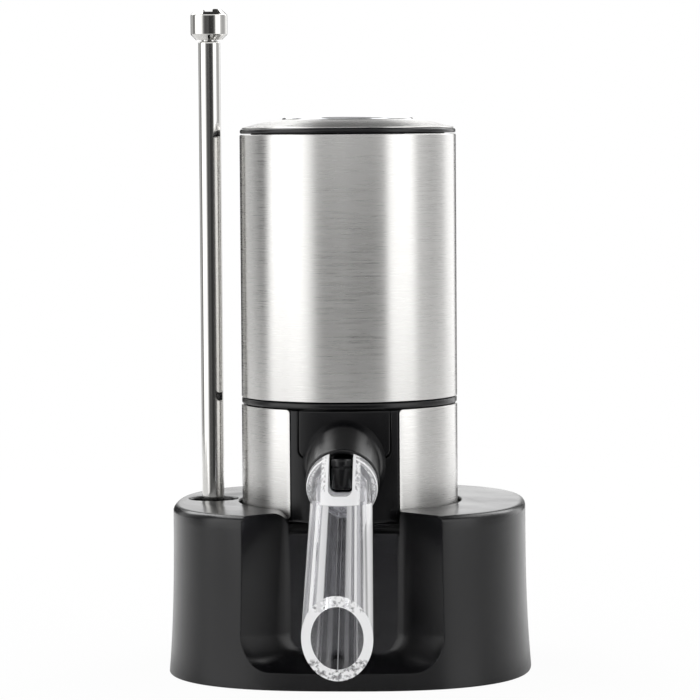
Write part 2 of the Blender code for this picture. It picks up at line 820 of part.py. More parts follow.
def build_stopper(body):
    core_top = floor_top_z + core_thread_height
    socket_radius_in_core = tube_radius + gap / 2
    core = turned(
        "stopper_core",
        [
            (liquid_barb_radius, core_top + liquid_barb_height, 0),
            (liquid_barb_radius, core_top, 0),
            (core_collar_radius, core_top, 0),
            (core_collar_radius, core_shoulder_z + seal_flange_height + gap, 0),
            (core_radius, core_shoulder_z + seal_flange_height + gap, 0),
            (core_radius, core_foot_z, 0),
            (socket_radius_in_core, core_foot_z, 0),
            (socket_radius_in_core, core_foot_z + tube_socket_depth, 0),
            (liquid_bore_radius, core_foot_z + tube_socket_depth, 0),
            (liquid_bore_radius, core_top + liquid_barb_height, 0),
        ],
        dark_abs, parent=body, steps=medium_steps,
    )
    air_barb = rod(
        "air_barb", air_barb_radius, core_top - overrun, core_top + air_barb_height, None,
        parent=body, location=(air_barb_x, 0, 0), steps=small_steps,
    )
    join(core, air_barb)
    air_bore = rod(
        "air_bore", air_bore_radius, core_foot_z - overrun, core_top + air_barb_height + overrun, None,
        parent=body, location=(air_barb_x, 0, 0), steps=small_steps,
    )
    cut(core, air_bore)

    ring(
        "stopper_nut", nut_radius, core_collar_radius + gap, floor_top_z + gap,
        floor_top_z + gap + nut_height, dark_abs, parent=body, steps=medium_steps,
    )
    seal_top = body_foot_z - gap
    flange_foot = seal_top - seal_flange_height
    corners = [
        (seal_flange_radius, seal_top, 0),
        (seal_flange_radius, flange_foot, seal_rib_taper),
        (seal_body_radius, flange_foot, 0),
    ]
    for i in range(seal_rib_count):
        rib_radius = seal_rib_radius - seal_rib_taper * i
        rib_top = flange_foot - seal_first_rib_drop - seal_rib_pitch * i
        corners += [
            (seal_body_radius, rib_top + seal_rib_height / 2, 0),
            (rib_radius, rib_top - seal_rib_height / 2, 0),
            (rib_radius, rib_top - seal_rib_height, 0),
            (seal_body_radius, rib_top - seal_rib_height * 1.5, 0),
        ]
    bore = core_radius + gap
    corners += [(seal_body_radius, seal_foot_z, seal_rib_taper), (bore, seal_foot_z, 0)]
    corners += [(bore, seal_top, 0)]
    turned("stopper_seal", corners, silicone, parent=body, steps=medium_steps)

    hose_radius = liquid_hose_bore + hose_wall
    start_z = core_top + gap * 2
    bend_z = core_top + liquid_barb_height
    points = [Vector((0, 0, start_z)), Vector((0, 0, bend_z))]
    bend = nozzle_feed_z - bend_z
    for k in range(1, 2 * arc_steps + 1):
        angle = math.pi / 2 * k / (2 * arc_steps)
        points.append(Vector((0, -bend * (1 - math.cos(angle)), bend_z + bend * math.sin(angle))))
    points.append(Vector((0, -nozzle_inner_y - liquid_barb_height, nozzle_feed_z)))
    tube_along("liquid_hose", points, hose_radius, liquid_hose_bore, clear_hose, body)


def build_nozzle(body):
    """Outlet: a feed pipe through the hood and a short upright nozzle."""
    nozzle = turned(
        "outlet_nozzle",
        [
            (0, nozzle_top_z, 0),
            (nozzle_radius, nozzle_top_z, nozzle_chamfer),
            (nozzle_radius, nozzle_groove_z + nozzle_groove_width / 2, 0),
            (nozzle_radius - nozzle_groove_depth, nozzle_groove_z, 0),
            (nozzle_radius, nozzle_groove_z - nozzle_groove_width / 2, 0),
            (nozzle_radius, nozzle_foot_z, nozzle_chamfer),
            (0, nozzle_foot_z, 0),
        ],
        black_abs, parent=body, location=(0, -nozzle_y, 0), steps=medium_steps, closed=False,
    )
    back = Vector((0, 1, 0))
    feed = rod(
        "nozzle_feed", nozzle_feed_radius, 0, nozzle_y - nozzle_inner_y, None,
        parent=body, steps=small_steps,
    )
    point_along(feed, (0, -nozzle_y, nozzle_feed_z), back)
    join(nozzle, feed)
    feed_bore = rod(
        "nozzle_feed_bore", nozzle_bore_radius, -nozzle_bore_radius / 3,
        nozzle_y - nozzle_inner_y + overrun, None, parent=body, steps=small_steps,
    )
    point_along(feed_bore, (0, -nozzle_y, nozzle_feed_z), back)
    drop_bore = rod(
        "nozzle_drop_bore", nozzle_drop_radius, nozzle_foot_z - overrun,
        nozzle_feed_z + nozzle_bore_radius / 3, None,
        parent=body, location=(0, -nozzle_y, 0), steps=small_steps,
    )
    join(feed_bore, drop_bore)
    cut(nozzle, feed_bore)


# Spout

def build_spout(body):
    """Clear spout: a round flange on the hood, a widening tube, a slanted mouth and a nozzle notch."""
    axis = empty("spout_axis", (0, 0, 0), body)
    tube_start = flange_front - spout_way * spout_flange_radius * 2
    tube_length = spout_length + spout_flange_radius * 2 + spout_tip_radius * 2
    growth = (spout_tip_radius - spout_top_radius) / spout_length
    bore_growth = (spout_tip_bore - spout_top_bore) / spout_length

    def taper(name, radius, slope, material, parent):
        top_radius = radius - slope * spout_flange_radius * 2
        foot_radius = top_radius + slope * tube_length
        corners = [
            (0, tube_length, 0), (foot_radius, tube_length, 0), (top_radius, 0, 0), (0, 0, 0),
        ]
        cone = turned(name, corners, material, parent=parent, steps=medium_steps, closed=False)
        return point_along(cone, tube_start, spout_way)

    def wall_behind(name, origin, way, depth):
        """A block whose front face passes through origin, facing along way."""
        size = spout_length * 2
        block = box(name, (size, size, depth), (0, 0, 0), None, axis)
        return point_along(block, origin - way * depth / 2, way)

    spout = taper("spout", spout_top_radius, growth, clear_acrylic, axis)
    cut(spout, wall_behind("spout_trim_back", flange_back, hood_way, spout_length))
    tip = flange_front + spout_way * spout_length
    beyond_tip = spout_tip_radius * 4
    cut(spout, wall_behind("spout_trim_tip", tip + tip_way * beyond_tip, tip_way, beyond_tip))
    flange = rod(
        "spout_flange", spout_flange_radius, 0, spout_flange_thickness, None,
        edge=spout_flange_round, parent=axis,
    )
    point_along(flange, flange_back, hood_way)
    join(spout, flange)
    bore = taper("spout_bore", spout_top_bore, bore_growth, None, axis)
    cut(bore, wall_behind("bore_trim", flange_front, hood_way, spout_length))
    cut(spout, bore)
    half = notch_half_width
    notch_top = hood_rim_z + hood_radius * 2
    outline = [
        (-half, notch_top, 0), (-half, notch_foot_z, notch_round),
        (half, notch_foot_z, notch_round), (half, notch_top, 0),
    ]
    reach = hood_rim_y + spout_length
    cut(spout, slab("spout_notch", outline, -reach, -hood_rim_y + spout_flange_radius, None, "Y", axis))


# Lower housing with its panel and hood

def inset_outline(grow):
    """The plate that carries the hood, seen from the front: a square head over a round lobe."""
    half = inset_half_width + grow
    foot = inset_side_foot_z - grow
    return [
        (-half, lower_top_z + overrun, 0), (-half, foot, inset_corner_round),
        (0, foot - inset_corner_round, 0), (half, foot, inset_corner_round),
        (half, lower_top_z + overrun, 0),
    ]


def hood_rings():
    """Rings of the visor: an oval root, a rounded shoulder, and a flank that narrows to the tilted rim."""
    raised = Vector((0, hood_way.z, -hood_way.y))
    root_z = hood_rim_z + hood_root_rise
    corner_y = -body_radius - hood_shoulder_reach - hood_shoulder_round
    columns = []
    for k in range(round_steps):
        angle = math.tau * k / round_steps
        across, lift = math.cos(angle), math.sin(angle)
        x, z = hood_root_half_width * across, root_z + hood_root_half_height * lift
        spoke = Vector((across, 0, 0)) + raised * lift
        start, corner = Vector((x, corner_y + hood_shoulder_round, z)), Vector((x, corner_y, z))
        edge = hood_rim - hood_way * hood_rim_round + spoke * hood_radius
        end = corner + (edge - corner).normalized() * hood_shoulder_round
        column = [Vector((x, -housing_inner_radius, z))]
        for i in range(arc_steps + 1):
            t = i / arc_steps
            column.append(start * (1 - t) ** 2 + corner * 2 * t * (1 - t) + end * t**2)
        for i in range(arc_steps + 1):
            turn = math.radians(90) * i / arc_steps
            back = hood_way * hood_rim_round * (1 - math.sin(turn))
            column.append(hood_rim - back + spoke * (hood_radius - hood_rim_round * (1 - math.cos(turn))))
        columns.append(column)
    return [list(points) for points in zip(*columns)]


def build_lower_unit(body):
    top = lower_top_z
    ledge_z = deck_z - gap
    housing = turned(
        "lower_housing",
        [
            (housing_radius, top, 0),
            (housing_radius, body_foot_z + foot_flange_height, 0),
            (body_radius, body_foot_z + foot_flange_height, 0),
            (body_radius, body_foot_z, foot_flange_height / 2),
            (core_collar_radius + gap, body_foot_z, 0),
            (core_collar_radius + gap, floor_top_z, 0),
            (housing_inner_radius - ledge_width, floor_top_z, 0),
            (housing_inner_radius - ledge_width, ledge_z, 0),
            (housing_inner_radius, ledge_z, 0),
            (housing_inner_radius, top, 0),
        ],
        black_abs, parent=body,
    )
    panel_face = body_radius - panel_recess
    panel_foot = body_foot_z + foot_flange_height / 2
    panel_top = top - seam / 2
    panel = ring("panel_ring", panel_face, housing_radius - gap, panel_foot, panel_top, None, parent=body)
    window = box(
        "panel_window", (2 * panel_half_width, body_radius, top * 2),
        (0, -body_radius, top), None, body,
    )
    keep_inside(panel, window)
    join(housing, panel)

    lobe_back = housing_inner_radius * math.cos(math.asin(inset_lobe_radius / body_radius)) - overrun
    pocket = slab("inset_pocket", inset_outline(seam), -body_radius - overrun, -lobe_back, None, "Y", body)
    lobe_depth = body_radius - lobe_back + overrun
    lobe = rod("inset_pocket_lobe", inset_lobe_radius + seam, 0, lobe_depth, None, parent=body)
    point_along(lobe, (0, -body_radius - overrun, inset_lobe_z), Vector((0, 1, 0)))
    join(pocket, lobe)
    cut(housing, pocket)

    hood = ring(
        "spout_hood", panel_face, housing_inner_radius, body_foot_z, panel_top, black_abs, parent=body,
    )
    keep = slab("inset_keep", inset_outline(0), -body_radius - overrun, -lobe_back, None, "Y", body)
    keep_lobe = rod("inset_keep_lobe", inset_lobe_radius, 0, lobe_depth, None, parent=body)
    point_along(keep_lobe, (0, -body_radius - overrun, inset_lobe_z), Vector((0, 1, 0)))
    join(keep, keep_lobe)
    keep_inside(hood, keep)
    visor = loft("hood_visor", hood_rings(), None, body)
    cut(visor, rod("panel_face_clearance", panel_face + seam, 0, top * 2, None, parent=body))
    neck_radius = hood_radius - hood_wall / 2
    neck = rod("hood_neck", neck_radius, -hood_length, -hood_cup_depth / 2, None, parent=body)
    point_along(neck, hood_rim, hood_way)
    cut(neck, rod("hood_inside", panel_face - housing_wall, 0, top * 2, None, parent=body))
    join(hood, neck, visor)
    cup = rod("hood_cup", hood_radius - hood_wall, -hood_cup_depth, overrun, None, parent=body)
    point_along(cup, hood_rim, hood_way)
    feed_hole = rod(
        "hood_feed_hole", nozzle_feed_radius + gap, 0, hood_rim_y, None,
        parent=body, steps=small_steps,
    )
    point_along(feed_hole, (0, -hood_rim_y, nozzle_feed_z), Vector((0, 1, 0)))
    cut(hood, cup, feed_hole)

    sleeve = ring(
        "lower_sleeve", body_radius, steel_inner_radius, body_foot_z + foot_flange_height + gap,
        top, brushed_steel, parent=body,
    )
    front_gap = box(
        "sleeve_opening", (2 * (panel_half_width + gap), body_radius, top * 2),
        (0, -body_radius, top), None, body,
    )
    cut(sleeve, front_gap)


def build_joint_band(body):
    """Bayonet collar: its rim is the black band between the two steel sleeves."""
    inner = collar_outer_radius - collar_wall
    ledge = inner - board_ledge_width
    ledge_top = collar_top_z - transfer_board_thickness - gap
    collar = turned(
        "bayonet_collar",
        [
            (collar_outer_radius, collar_top_z, 0),
            (collar_outer_radius, band_top_z, 0),
            (body_radius - gap, band_top_z, gap),
            (body_radius - gap, band_foot_z, gap),
            (collar_outer_radius, band_foot_z, 0),
            (collar_outer_radius, collar_foot_z, 0),
            (inner, collar_foot_z, 0),
            (inner, ledge_top - board_ledge_width, 0),
            (ledge, ledge_top - board_ledge_width / 2, 0),
            (ledge, ledge_top, 0),
            (inner, ledge_top, 0),
            (inner, collar_top_z, 0),
        ],
        black_abs, parent=body, steps=hidden_steps,
    )
    for i in range(lug_count):
        angle = math.tau * i / lug_count + math.pi / 2
        reach = collar_outer_radius + lug_reach - inner - gap
        centre = collar_outer_radius + lug_reach - reach / 2
        lug = box(
            f"collar_lug_{i + 1}", (reach, lug_width, lug_height),
            (centre * math.cos(angle), centre * math.sin(angle), lug_z + lug_height / 2), None, body,
        )
        lug.rotation_euler.z = angle
        join(collar, lug)
    ring(
        "transfer_board", inner - gap, transfer_board_inner, ledge_top + gap,
        ledge_top + gap + transfer_board_thickness, green_board, parent=body, steps=hidden_steps,
    )


# Pump and motor

def build_pump(body):
    deck = rod(
        "pump_deck", housing_inner_radius - gap, deck_z, deck_z + pump_deck_thickness, dark_abs,
        parent=body, steps=hidden_steps,
    )
    riser_hole = rod(
        "deck_riser_hole", core_collar_radius + gap, deck_z - overrun,
        deck_z + pump_deck_thickness + overrun, None, parent=body, steps=medium_steps,
    )
    cut(deck, riser_hole)
    place = {"parent": body, "location": (0, pump_y, 0), "steps": medium_steps}
    valve_plate_top_z = valve_plate_z + valve_plate_height
    valve_plate = rod("valve_plate", pump_radius, valve_plate_z, valve_plate_top_z, pump_plastic, **place)
    port_z = valve_plate_top_z - air_barb_radius - gap / 3
    side = Vector((1, 0, 0))
    port_reach = pump_radius + air_barb_height
    port = rod("air_port", air_barb_radius, 0, port_reach, None, parent=body, steps=small_steps)
    point_along(port, (0, pump_y, port_z), side)
    join(valve_plate, port)
    rod("pump_diaphragm", pump_radius, diaphragm_z, diaphragm_z + diaphragm_height, silicone, **place)
    pump_top = pump_body_z + pump_body_height
    turned(
        "pump_body",
        [
            (pump_radius, pump_top, 0), (pump_radius, pump_body_z, 0),
            (pump_cavity_radius, pump_body_z, 0), (pump_cavity_radius, pump_top - pump_roof, 0),
            (shaft_radius + running_gap, pump_top - pump_roof, 0),
            (shaft_radius + running_gap, pump_top, 0),
        ],
        pump_plastic, **place,
    )
    turned(
        "motor_can",
        [
            (0, motor_z + motor_height, 0),
            (pump_radius, motor_z + motor_height, motor_round),
            (pump_radius, motor_z, 0),
            (shaft_radius + running_gap, motor_z, 0),
            (shaft_radius + running_gap, motor_z + shaft_in_motor + gap, 0),
            (0, motor_z + shaft_in_motor + gap, 0),
        ],
        motor_steel, closed=False, **place,
    )
    rotor = empty("motor_axis", (0, pump_y, 0), body)
    crank_top = pump_top - pump_roof - gap
    shaft = turned(
        "motor_shaft",
        [
            (0, motor_z + shaft_in_motor, 0), (shaft_radius, motor_z + shaft_in_motor, 0),
            (shaft_radius, crank_top, 0), (crank_radius, crank_top, 0),
            (crank_radius, crank_top - crank_height, 0), (0, crank_top - crank_height, 0),
        ],
        spring_steel, parent=rotor, steps=small_steps, closed=False,
    )
    crank_pin_z = pump_body_z + gap
    crank_pin = rod(
        "crank_pin", shaft_radius, crank_pin_z, crank_top - crank_height / 2, None, parent=rotor,
        location=(crank_offset, 0, 0), steps=small_steps,
    )
    join(shaft, crank_pin)

    port_root = Vector((pump_radius + gap * 2, pump_y, port_z))
    port_end = Vector((pump_radius + air_barb_height + gap, pump_y, port_z))
    barb_foot = Vector((air_barb_x, 0, floor_top_z + core_thread_height + gap))
    barb_top = barb_foot + Vector((0, 0, air_barb_height + gap))
    leave = port_end + side * hose_bend * air_hose_swing_share
    arrive = barb_top + Vector((0, 0, hose_bend * air_hose_rise_share))
    hose = [port_root, *interpolate_bezier(port_end, leave, arrive, barb_top, 4 * arc_steps), barb_foot]
    tube_along("air_hose", hose, air_hose_bore + hose_wall, air_hose_bore, clear_hose, body)


# Upper unit: sleeve, housing, batteries, board

def build_upper_unit(upper):
    ring(
        "upper_sleeve", body_radius, steel_inner_radius, upper_foot_z, upper_top_z, brushed_steel,
        parent=upper,
    )
    top = upper_top_z - gap
    groove_low = lug_z - groove_clearance
    groove_high = lug_z + lug_height + groove_clearance
    groove_radius = collar_outer_radius + lug_reach + groove_clearance
    mouth = collar_outer_radius + gap
    ledge_low = board_z - gap - board_ledge_height
    housing = turned(
        "upper_housing",
        [
            (housing_radius, top, 0), (housing_radius, upper_foot_z, 0),
            (mouth, upper_foot_z, 0), (mouth, groove_low, 0),
            (groove_radius, groove_low, 0), (groove_radius, groove_high, 0),
            (mouth, groove_high, 0), (mouth, partition_z, 0),
            (battery_nub_radius, partition_z, 0), (battery_nub_radius, partition_top_z, 0),
            (housing_inner_radius, partition_top_z, 0), (housing_inner_radius, ledge_low, 0),
            (board_ledge_radius, ledge_low + board_ledge_height / 2, 0),
            (board_ledge_radius, board_z - gap, 0),
            (housing_inner_radius, board_z - gap, 0), (housing_inner_radius, top, 0),
        ],
        dark_abs, parent=upper, steps=hidden_steps,
    )
    for i in range(lug_count):
        angle = math.tau * i / lug_count + math.pi / 2 - twist_to_open
        reach = groove_radius - mouth + gap
        centre = groove_radius - reach / 2
        height = groove_high - upper_foot_z + overrun
        entry = box(
            f"bayonet_entry_{i + 1}", (reach, lug_width + 2 * entry_clearance, height),
            (centre * math.cos(angle), centre * math.sin(angle), groove_high - height / 2), None, upper,
        )
        entry.rotation_euler.z = angle
        cut(housing, entry)
    pin_foot = collar_top_z + gap
    for i, side in enumerate((-1, 1)):
        spot = (side * pin_circle, 0, 0)
        pin_hole = rod(
            f"pin_hole_{i + 1}", pin_radius + gap, partition_z - overrun, partition_top_z + overrun, None,
            parent=upper, location=spot, steps=small_steps,
        )
        cut(housing, pin_hole)
        rod(
            f"contact_pin_{i + 1}", pin_radius, pin_foot, pin_foot + pin_height, brass,
            parent=upper, location=spot, steps=small_steps,
        )


def build_batteries(upper):
    carrier = rod(
        "battery_carrier", carrier_radius, carrier_foot_z, carrier_foot_z + carrier_plate, dark_abs,
        parent=upper, steps=hidden_steps,
    )
    lid = rod(
        "carrier_lid", carrier_radius, carrier_lid_z, carrier_top_z, None,
        parent=upper, steps=hidden_steps,
    )
    web_height = carrier_lid_z - carrier_foot_z - carrier_plate + 2 * gap
    web_z = carrier_foot_z + carrier_plate - gap + web_height / 2
    span = 2 * (carrier_radius - carrier_plate)
    web_a = box("carrier_web_1", (span, carrier_web, web_height), (0, 0, web_z), None, upper)
    web_b = box("carrier_web_2", (carrier_web, span, web_height), (0, 0, web_z), None, upper)
    join(web_a, web_b)
    join(carrier, web_a, lid)
    places = [(x, y) for x in (-1, 1) for y in (-1, 1)]
    for i, (across, along) in enumerate(places):
        up = across == along
        low = battery_foot_z
        high = battery_top_z
        if up:
            corners = [
                (0, high, 0), (battery_nub_radius, high, 0),
                (battery_nub_radius, high - battery_nub_height, 0),
                (battery_radius, high - battery_nub_height, battery_nub_height / 2),
                (battery_radius, low, 0), (0, low, 0),
            ]
        else:
            corners = [
                (0, high, 0), (battery_radius, high, 0),
                (battery_radius, low + battery_nub_height, battery_nub_height / 2),
                (battery_nub_radius, low + battery_nub_height, 0),
                (battery_nub_radius, low, 0), (0, low, 0),
            ]
        turned(
            f"battery_{i + 1}", corners, battery_wrap, parent=upper, steps=small_steps, closed=False,
            location=(across * battery_offset, along * battery_offset, 0),
        )
    bridge = 2 * battery_offset + contact_width
    for i, side in enumerate((-1, 1)):
        box(
            f"contact_top_{i + 1}", (contact_width, bridge, contact_thickness),
            (side * battery_offset, 0, upper_contact_z + contact_thickness / 2), brass, upper,
        )
    web_slots = box(
        "contact_top_clearance",
        (2 * battery_offset + contact_width + 2 * gap, bridge + 2 * gap, contact_thickness + 2 * gap),
        (0, 0, upper_contact_z + contact_thickness / 2), None, upper,
    )
    web_slots_low = box(
        "contact_low_clearance",
        (bridge + 2 * gap, 2 * battery_offset + contact_width + 2 * gap, contact_thickness + 2 * gap),
        (0, 0, contact_foot_z + contact_thickness / 2), None, upper,
    )
    cut(carrier, web_slots, web_slots_low)
    low_z = contact_foot_z + contact_thickness / 2
    box(
        "contact_low_bridge", (bridge, contact_width, contact_thickness),
        (0, battery_offset, low_z), brass, upper,
    )
    for i, side in enumerate((-1, 1)):
        box(
            f"contact_low_end_{i + 1}", (contact_width, contact_width, contact_thickness),
            (side * battery_offset, -battery_offset, low_z), brass, upper,
        )


def build_controls(upper):
    rod("control_board", board_radius, board_z, board_top_z, green_board, parent=upper, steps=hidden_steps)
    switch_foot = board_top_z + gap
    switch = box(
        "push_switch", (switch_width, switch_width, switch_height),
        (0, 0, switch_foot + switch_height / 2), black_chip, upper,
    )
    plunger = rod(
        "switch_plunger", plunger_radius, switch_foot + switch_height / 2,
        switch_foot + switch_height + plunger_height, None, parent=upper, steps=small_steps,
    )
    join(switch, plunger)
    box(
        "control_chip", (chip_length, chip_width, chip_height),
        (0, switch_width + chip_width, switch_foot + chip_height / 2), black_chip, upper,
    )
    return switch_foot + switch_height + plunger_height


def build_cap(upper):
    skirt_outer = housing_inner_radius - gap
    skirt_inner = skirt_outer - cap_ring_skirt_wall
    turned(
        "cap_ring",
        [
            (cap_ring_radius, cap_ring_top_z, gap),
            (cap_ring_radius, cap_ring_z, gap),
            (skirt_outer, cap_ring_z, 0),
            (skirt_outer, board_top_z + gap, 0),
            (skirt_inner, board_top_z + gap, 0),
            (skirt_inner, cap_ring_top_z, 0),
        ],
        black_abs, parent=upper,
    )
    turned(
        "top_cap",
        [
            (cap_hole_radius, cap_crown_z, gap),
            (cap_shoulder_radius, cap_z + cap_shoulder_rise, cap_shoulder_radius),
            (cap_radius, cap_z + cap_edge_rise, 0),
            (cap_radius, cap_z, 0),
            (cap_hole_radius, cap_z, 0),
        ],
        brushed_steel, parent=upper,
    )


def build_button(upper, plunger_top):
    """Domed chrome button on a light coil spring, with a stem above the switch."""
    button_axis = empty("button_axis", (0, 0, 0), upper)
    edge = button_edge_z
    crown = edge + button_crown_rise
    dome_radius = (button_radius**2 + button_crown_rise**2) / (2 * button_crown_rise)
    dome_steps = 3 * arc_steps
    skin = []
    for k in range(dome_steps + 1):
        radius = button_radius * k / dome_steps
        skin.append((radius, crown - dome_radius + math.sqrt(dome_radius**2 - radius**2), 0))
    foot = edge - button_edge_height
    skirt_inner = button_radius - button_skirt_wall
    roof = foot + button_skirt_depth / 2
    stem_foot = plunger_top + gap + button_travel
    turned(
        "power_button",
        skin + [
            (button_radius, foot, 0),
            (skirt_inner, foot, 0),
            (skirt_inner, roof, 0),
            (button_stem_radius, roof, 0),
            (button_stem_radius, stem_foot, 0),
            (0, stem_foot, 0),
        ],
        chrome, parent=button_axis, closed=False, steps=medium_steps,
    )
    spring_foot = board_top_z + gap
    return spring_foot, roof - gap


def build_button_spring(upper, low, high):
    """One unbroken wire: a dead turn at each end and open turns between."""
    count = spring_turns * spring_points_per_turn
    wire = spring_wire_radius
    points = []
    for k in range(count + 1):
        angle = math.tau * k / spring_points_per_turn
        z = low + wire + (high - low - 2 * wire) * k / count
        points.append(Vector((spring_radius * math.cos(angle), spring_radius * math.sin(angle), z)))
    least = min(
        (a - b).length
        for i, a in enumerate(points)
        for b in points[i + spring_points_per_turn // 2 :]
    )
    print("button spring, least gap between turns in mm:", round((least - 2 * wire) * 1000, 2))
    curve = bpy.data.curves.new("button_spring", "CURVE")
    curve.dimensions = "3D"
    spline = curve.splines.new("POLY")
    spline.points.add(count)
    for place, point in zip(spline.points, points):
        place.co = (*point, 1)
    curve.bevel_depth = wire
    curve.bevel_resolution = 1
    curve.render_resolution_u = 0
    curve.use_fill_caps = True
    curve.materials.append(spring_steel)
    spring = bpy.data.objects.new("button_spring", curve)
    parts.objects.link(spring)
    spring.parent = upper


build_base()
build_dip_tube()
dispenser = empty("dispenser_axis", (0, 0, 0))
build_lower_unit(dispenser)
build_joint_band(dispenser)
build_stopper(dispenser)
build_nozzle(dispenser)
build_spout(dispenser)
build_pump(dispenser)
upper_unit = empty("upper_unit_axis", (0, 0, 0), dispenser)
build_upper_unit(upper_unit)
build_batteries(upper_unit)
plunger_top_z = build_controls(upper_unit)
build_cap(upper_unit)
spring_low, spring_high = build_button(upper_unit, plunger_top_z)
build_button_spring(upper_unit, spring_low, spring_high)
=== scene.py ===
"""Pump dispenser for a liquor bottle, standing in its storage base, dressed for its picture.

The sections follow the object as it is put together: the storage base, the dip tube, the
dispenser's lower unit with its stopper, hood and clear spout, the bayonet joint, the upper
unit, the cap and the button. Metres, +Z up, and -Y is the front.
"""

import math

import bmesh
import bpy
from mathutils import Matrix, Vector
from mathutils.geometry import interpolate_bezier


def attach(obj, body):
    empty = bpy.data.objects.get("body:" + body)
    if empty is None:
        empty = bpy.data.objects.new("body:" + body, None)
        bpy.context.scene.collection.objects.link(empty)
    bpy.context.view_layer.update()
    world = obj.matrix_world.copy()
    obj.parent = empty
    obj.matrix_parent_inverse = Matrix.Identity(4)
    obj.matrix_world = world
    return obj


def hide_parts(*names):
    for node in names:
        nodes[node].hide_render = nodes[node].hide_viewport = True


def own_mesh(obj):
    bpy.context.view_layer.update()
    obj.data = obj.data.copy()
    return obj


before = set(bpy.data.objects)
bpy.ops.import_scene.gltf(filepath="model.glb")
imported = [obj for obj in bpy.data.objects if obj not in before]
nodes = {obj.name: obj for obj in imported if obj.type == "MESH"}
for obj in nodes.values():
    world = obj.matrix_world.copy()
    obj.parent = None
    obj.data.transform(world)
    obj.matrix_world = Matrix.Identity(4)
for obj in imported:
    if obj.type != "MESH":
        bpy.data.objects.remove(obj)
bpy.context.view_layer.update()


# Camera
# A long lens stands 835 mm in front of the object and a little to its right, 129 mm up, and looks
# 3.5 degrees down. The values come from the outlines of the sleeves, base and tube in the photograph.

camera_distance = 0.8351
camera_height = 0.12874
camera_swing = math.radians(3.1)
camera_pitch = math.radians(3.485)
camera_roll = math.radians(-0.402)
camera_focal_pixels = 3403.6
camera_centre_offset_pixels = -0.861
picture_pixels = 700

camera_data = bpy.data.cameras.new("studio_camera")
camera_data.sensor_width = 36
camera_data.lens = camera_focal_pixels / picture_pixels * camera_data.sensor_width
camera_data.shift_x = -camera_centre_offset_pixels / picture_pixels
camera = bpy.data.objects.new("studio_camera", camera_data)
bpy.context.scene.collection.objects.link(camera)
forward = Vector((
    -math.sin(camera_swing) * math.cos(camera_pitch),
    math.cos(camera_swing) * math.cos(camera_pitch),
    -math.sin(camera_pitch),
))
level = Vector((math.cos(camera_swing), math.sin(camera_swing), 0))
upward = level.cross(forward)
right = level * math.cos(camera_roll) + upward * math.sin(camera_roll)
upward = upward * math.cos(camera_roll) - level * math.sin(camera_roll)
turn = Matrix((right, upward, -forward)).transposed().to_4x4()
stand = Vector((
    camera_distance * math.sin(camera_swing), -camera_distance * math.cos(camera_swing), camera_height
))
camera.matrix_world = Matrix.Translation(stand) @ turn
bpy.context.scene.camera = camera


# Studio
# A white table in a white room, whose brightness changes round the object in upright bands that the
# steel mirrors: tall bright panels at both sides, a dim front, and a dark ceiling. Two softboxes high
# at the sides and two behind light the tops and the edges.

def colour(hex_value, share=1.0):
    """The linear colour of an sRGB hex value, made darker or lighter by a share."""
    channels = [int(hex_value[i : i + 2], 16) / 255 for i in (1, 3, 5)]
    linear = [c / 12.92 if c <= 0.04045 else ((c + 0.055) / 1.055) ** 2.4 for c in channels]
    return [c * share for c in linear] + [1.0]


def add_node(tree, kind, inputs=(), **settings):
    """A node with its settings, and its inputs as pairs of a socket and a value or another's output."""
    node = tree.nodes.new(kind)
    for name, value in settings.items():
        setattr(node, name, value)
    for socket, value in inputs:
        if isinstance(value, bpy.types.NodeSocket):
            tree.links.new(value, node.inputs[socket])
        else:
            node.inputs[socket].default_value = value
    return node


def set_ramp(ramp, stops):
    """Fills a Color Ramp with (position, grey) stops."""
    elements = ramp.color_ramp.elements
    while len(elements) > 1:
        elements.remove(elements[-1])
    for i, (position, grey) in enumerate(stops):
        element = elements[0] if i == 0 else elements.new(position)
        element.position = position
        element.color = (grey, grey, grey, 1)


# Brightness by the turn in degrees, with 0 at the front and the right side positive: above, where
# only soft reflections reach, and from the level of the object down, which the steel mirrors.
room_high_brightness = [
    (-180, 0.3), (-172, 0.3), (-166, 0.1), (-146, 0.1), (-140, 0.8), (-132, 0.8), (-116, 0.5), (-106, 0.28),
    (-98, 0.3), (-90, 0.9), (-86, 2.0), (-50, 2.0), (-42, 1.9), (-32, 1.3), (-20, 1.7), (0, 1.7), (20, 1.65),
    (32, 1.5), (44, 1.6), (50, 2.0), (76, 2.0), (84, 0.8), (104, 0.6), (122, 0.75), (136, 1.4), (156, 1.5),
    (161, 0.2), (170, 0.2), (180, 0.3),
]
room_low_brightness = [
    (-180, 1.6), (-172, 1.3), (-166, 0.05), (-146, 0.05), (-140, 0.7), (-132, 0.7), (-116, 0.45),
    (-106, 0.22), (-97, 0.2), (-86, 2.0), (-50, 1.9), (-43, 1.5), (-37, 1.0), (-30, 0.3), (-20, 0.1),
    (0, 0.12), (8, 0.04), (30, 0.06), (42, 0.25), (49, 1.7), (74, 1.9), (84, 0.7), (104, 0.5), (122, 0.65),
    (136, 1.3), (156, 1.5), (161, 0.1), (170, 0.1), (180, 1.6),
]
room_brightest = 2.0
ceiling_brightness = 0.05
low_ends, high_starts = 0.615, 0.705
front_lean = 0.08
wall_ends, ceiling_starts = 0.79, 0.86

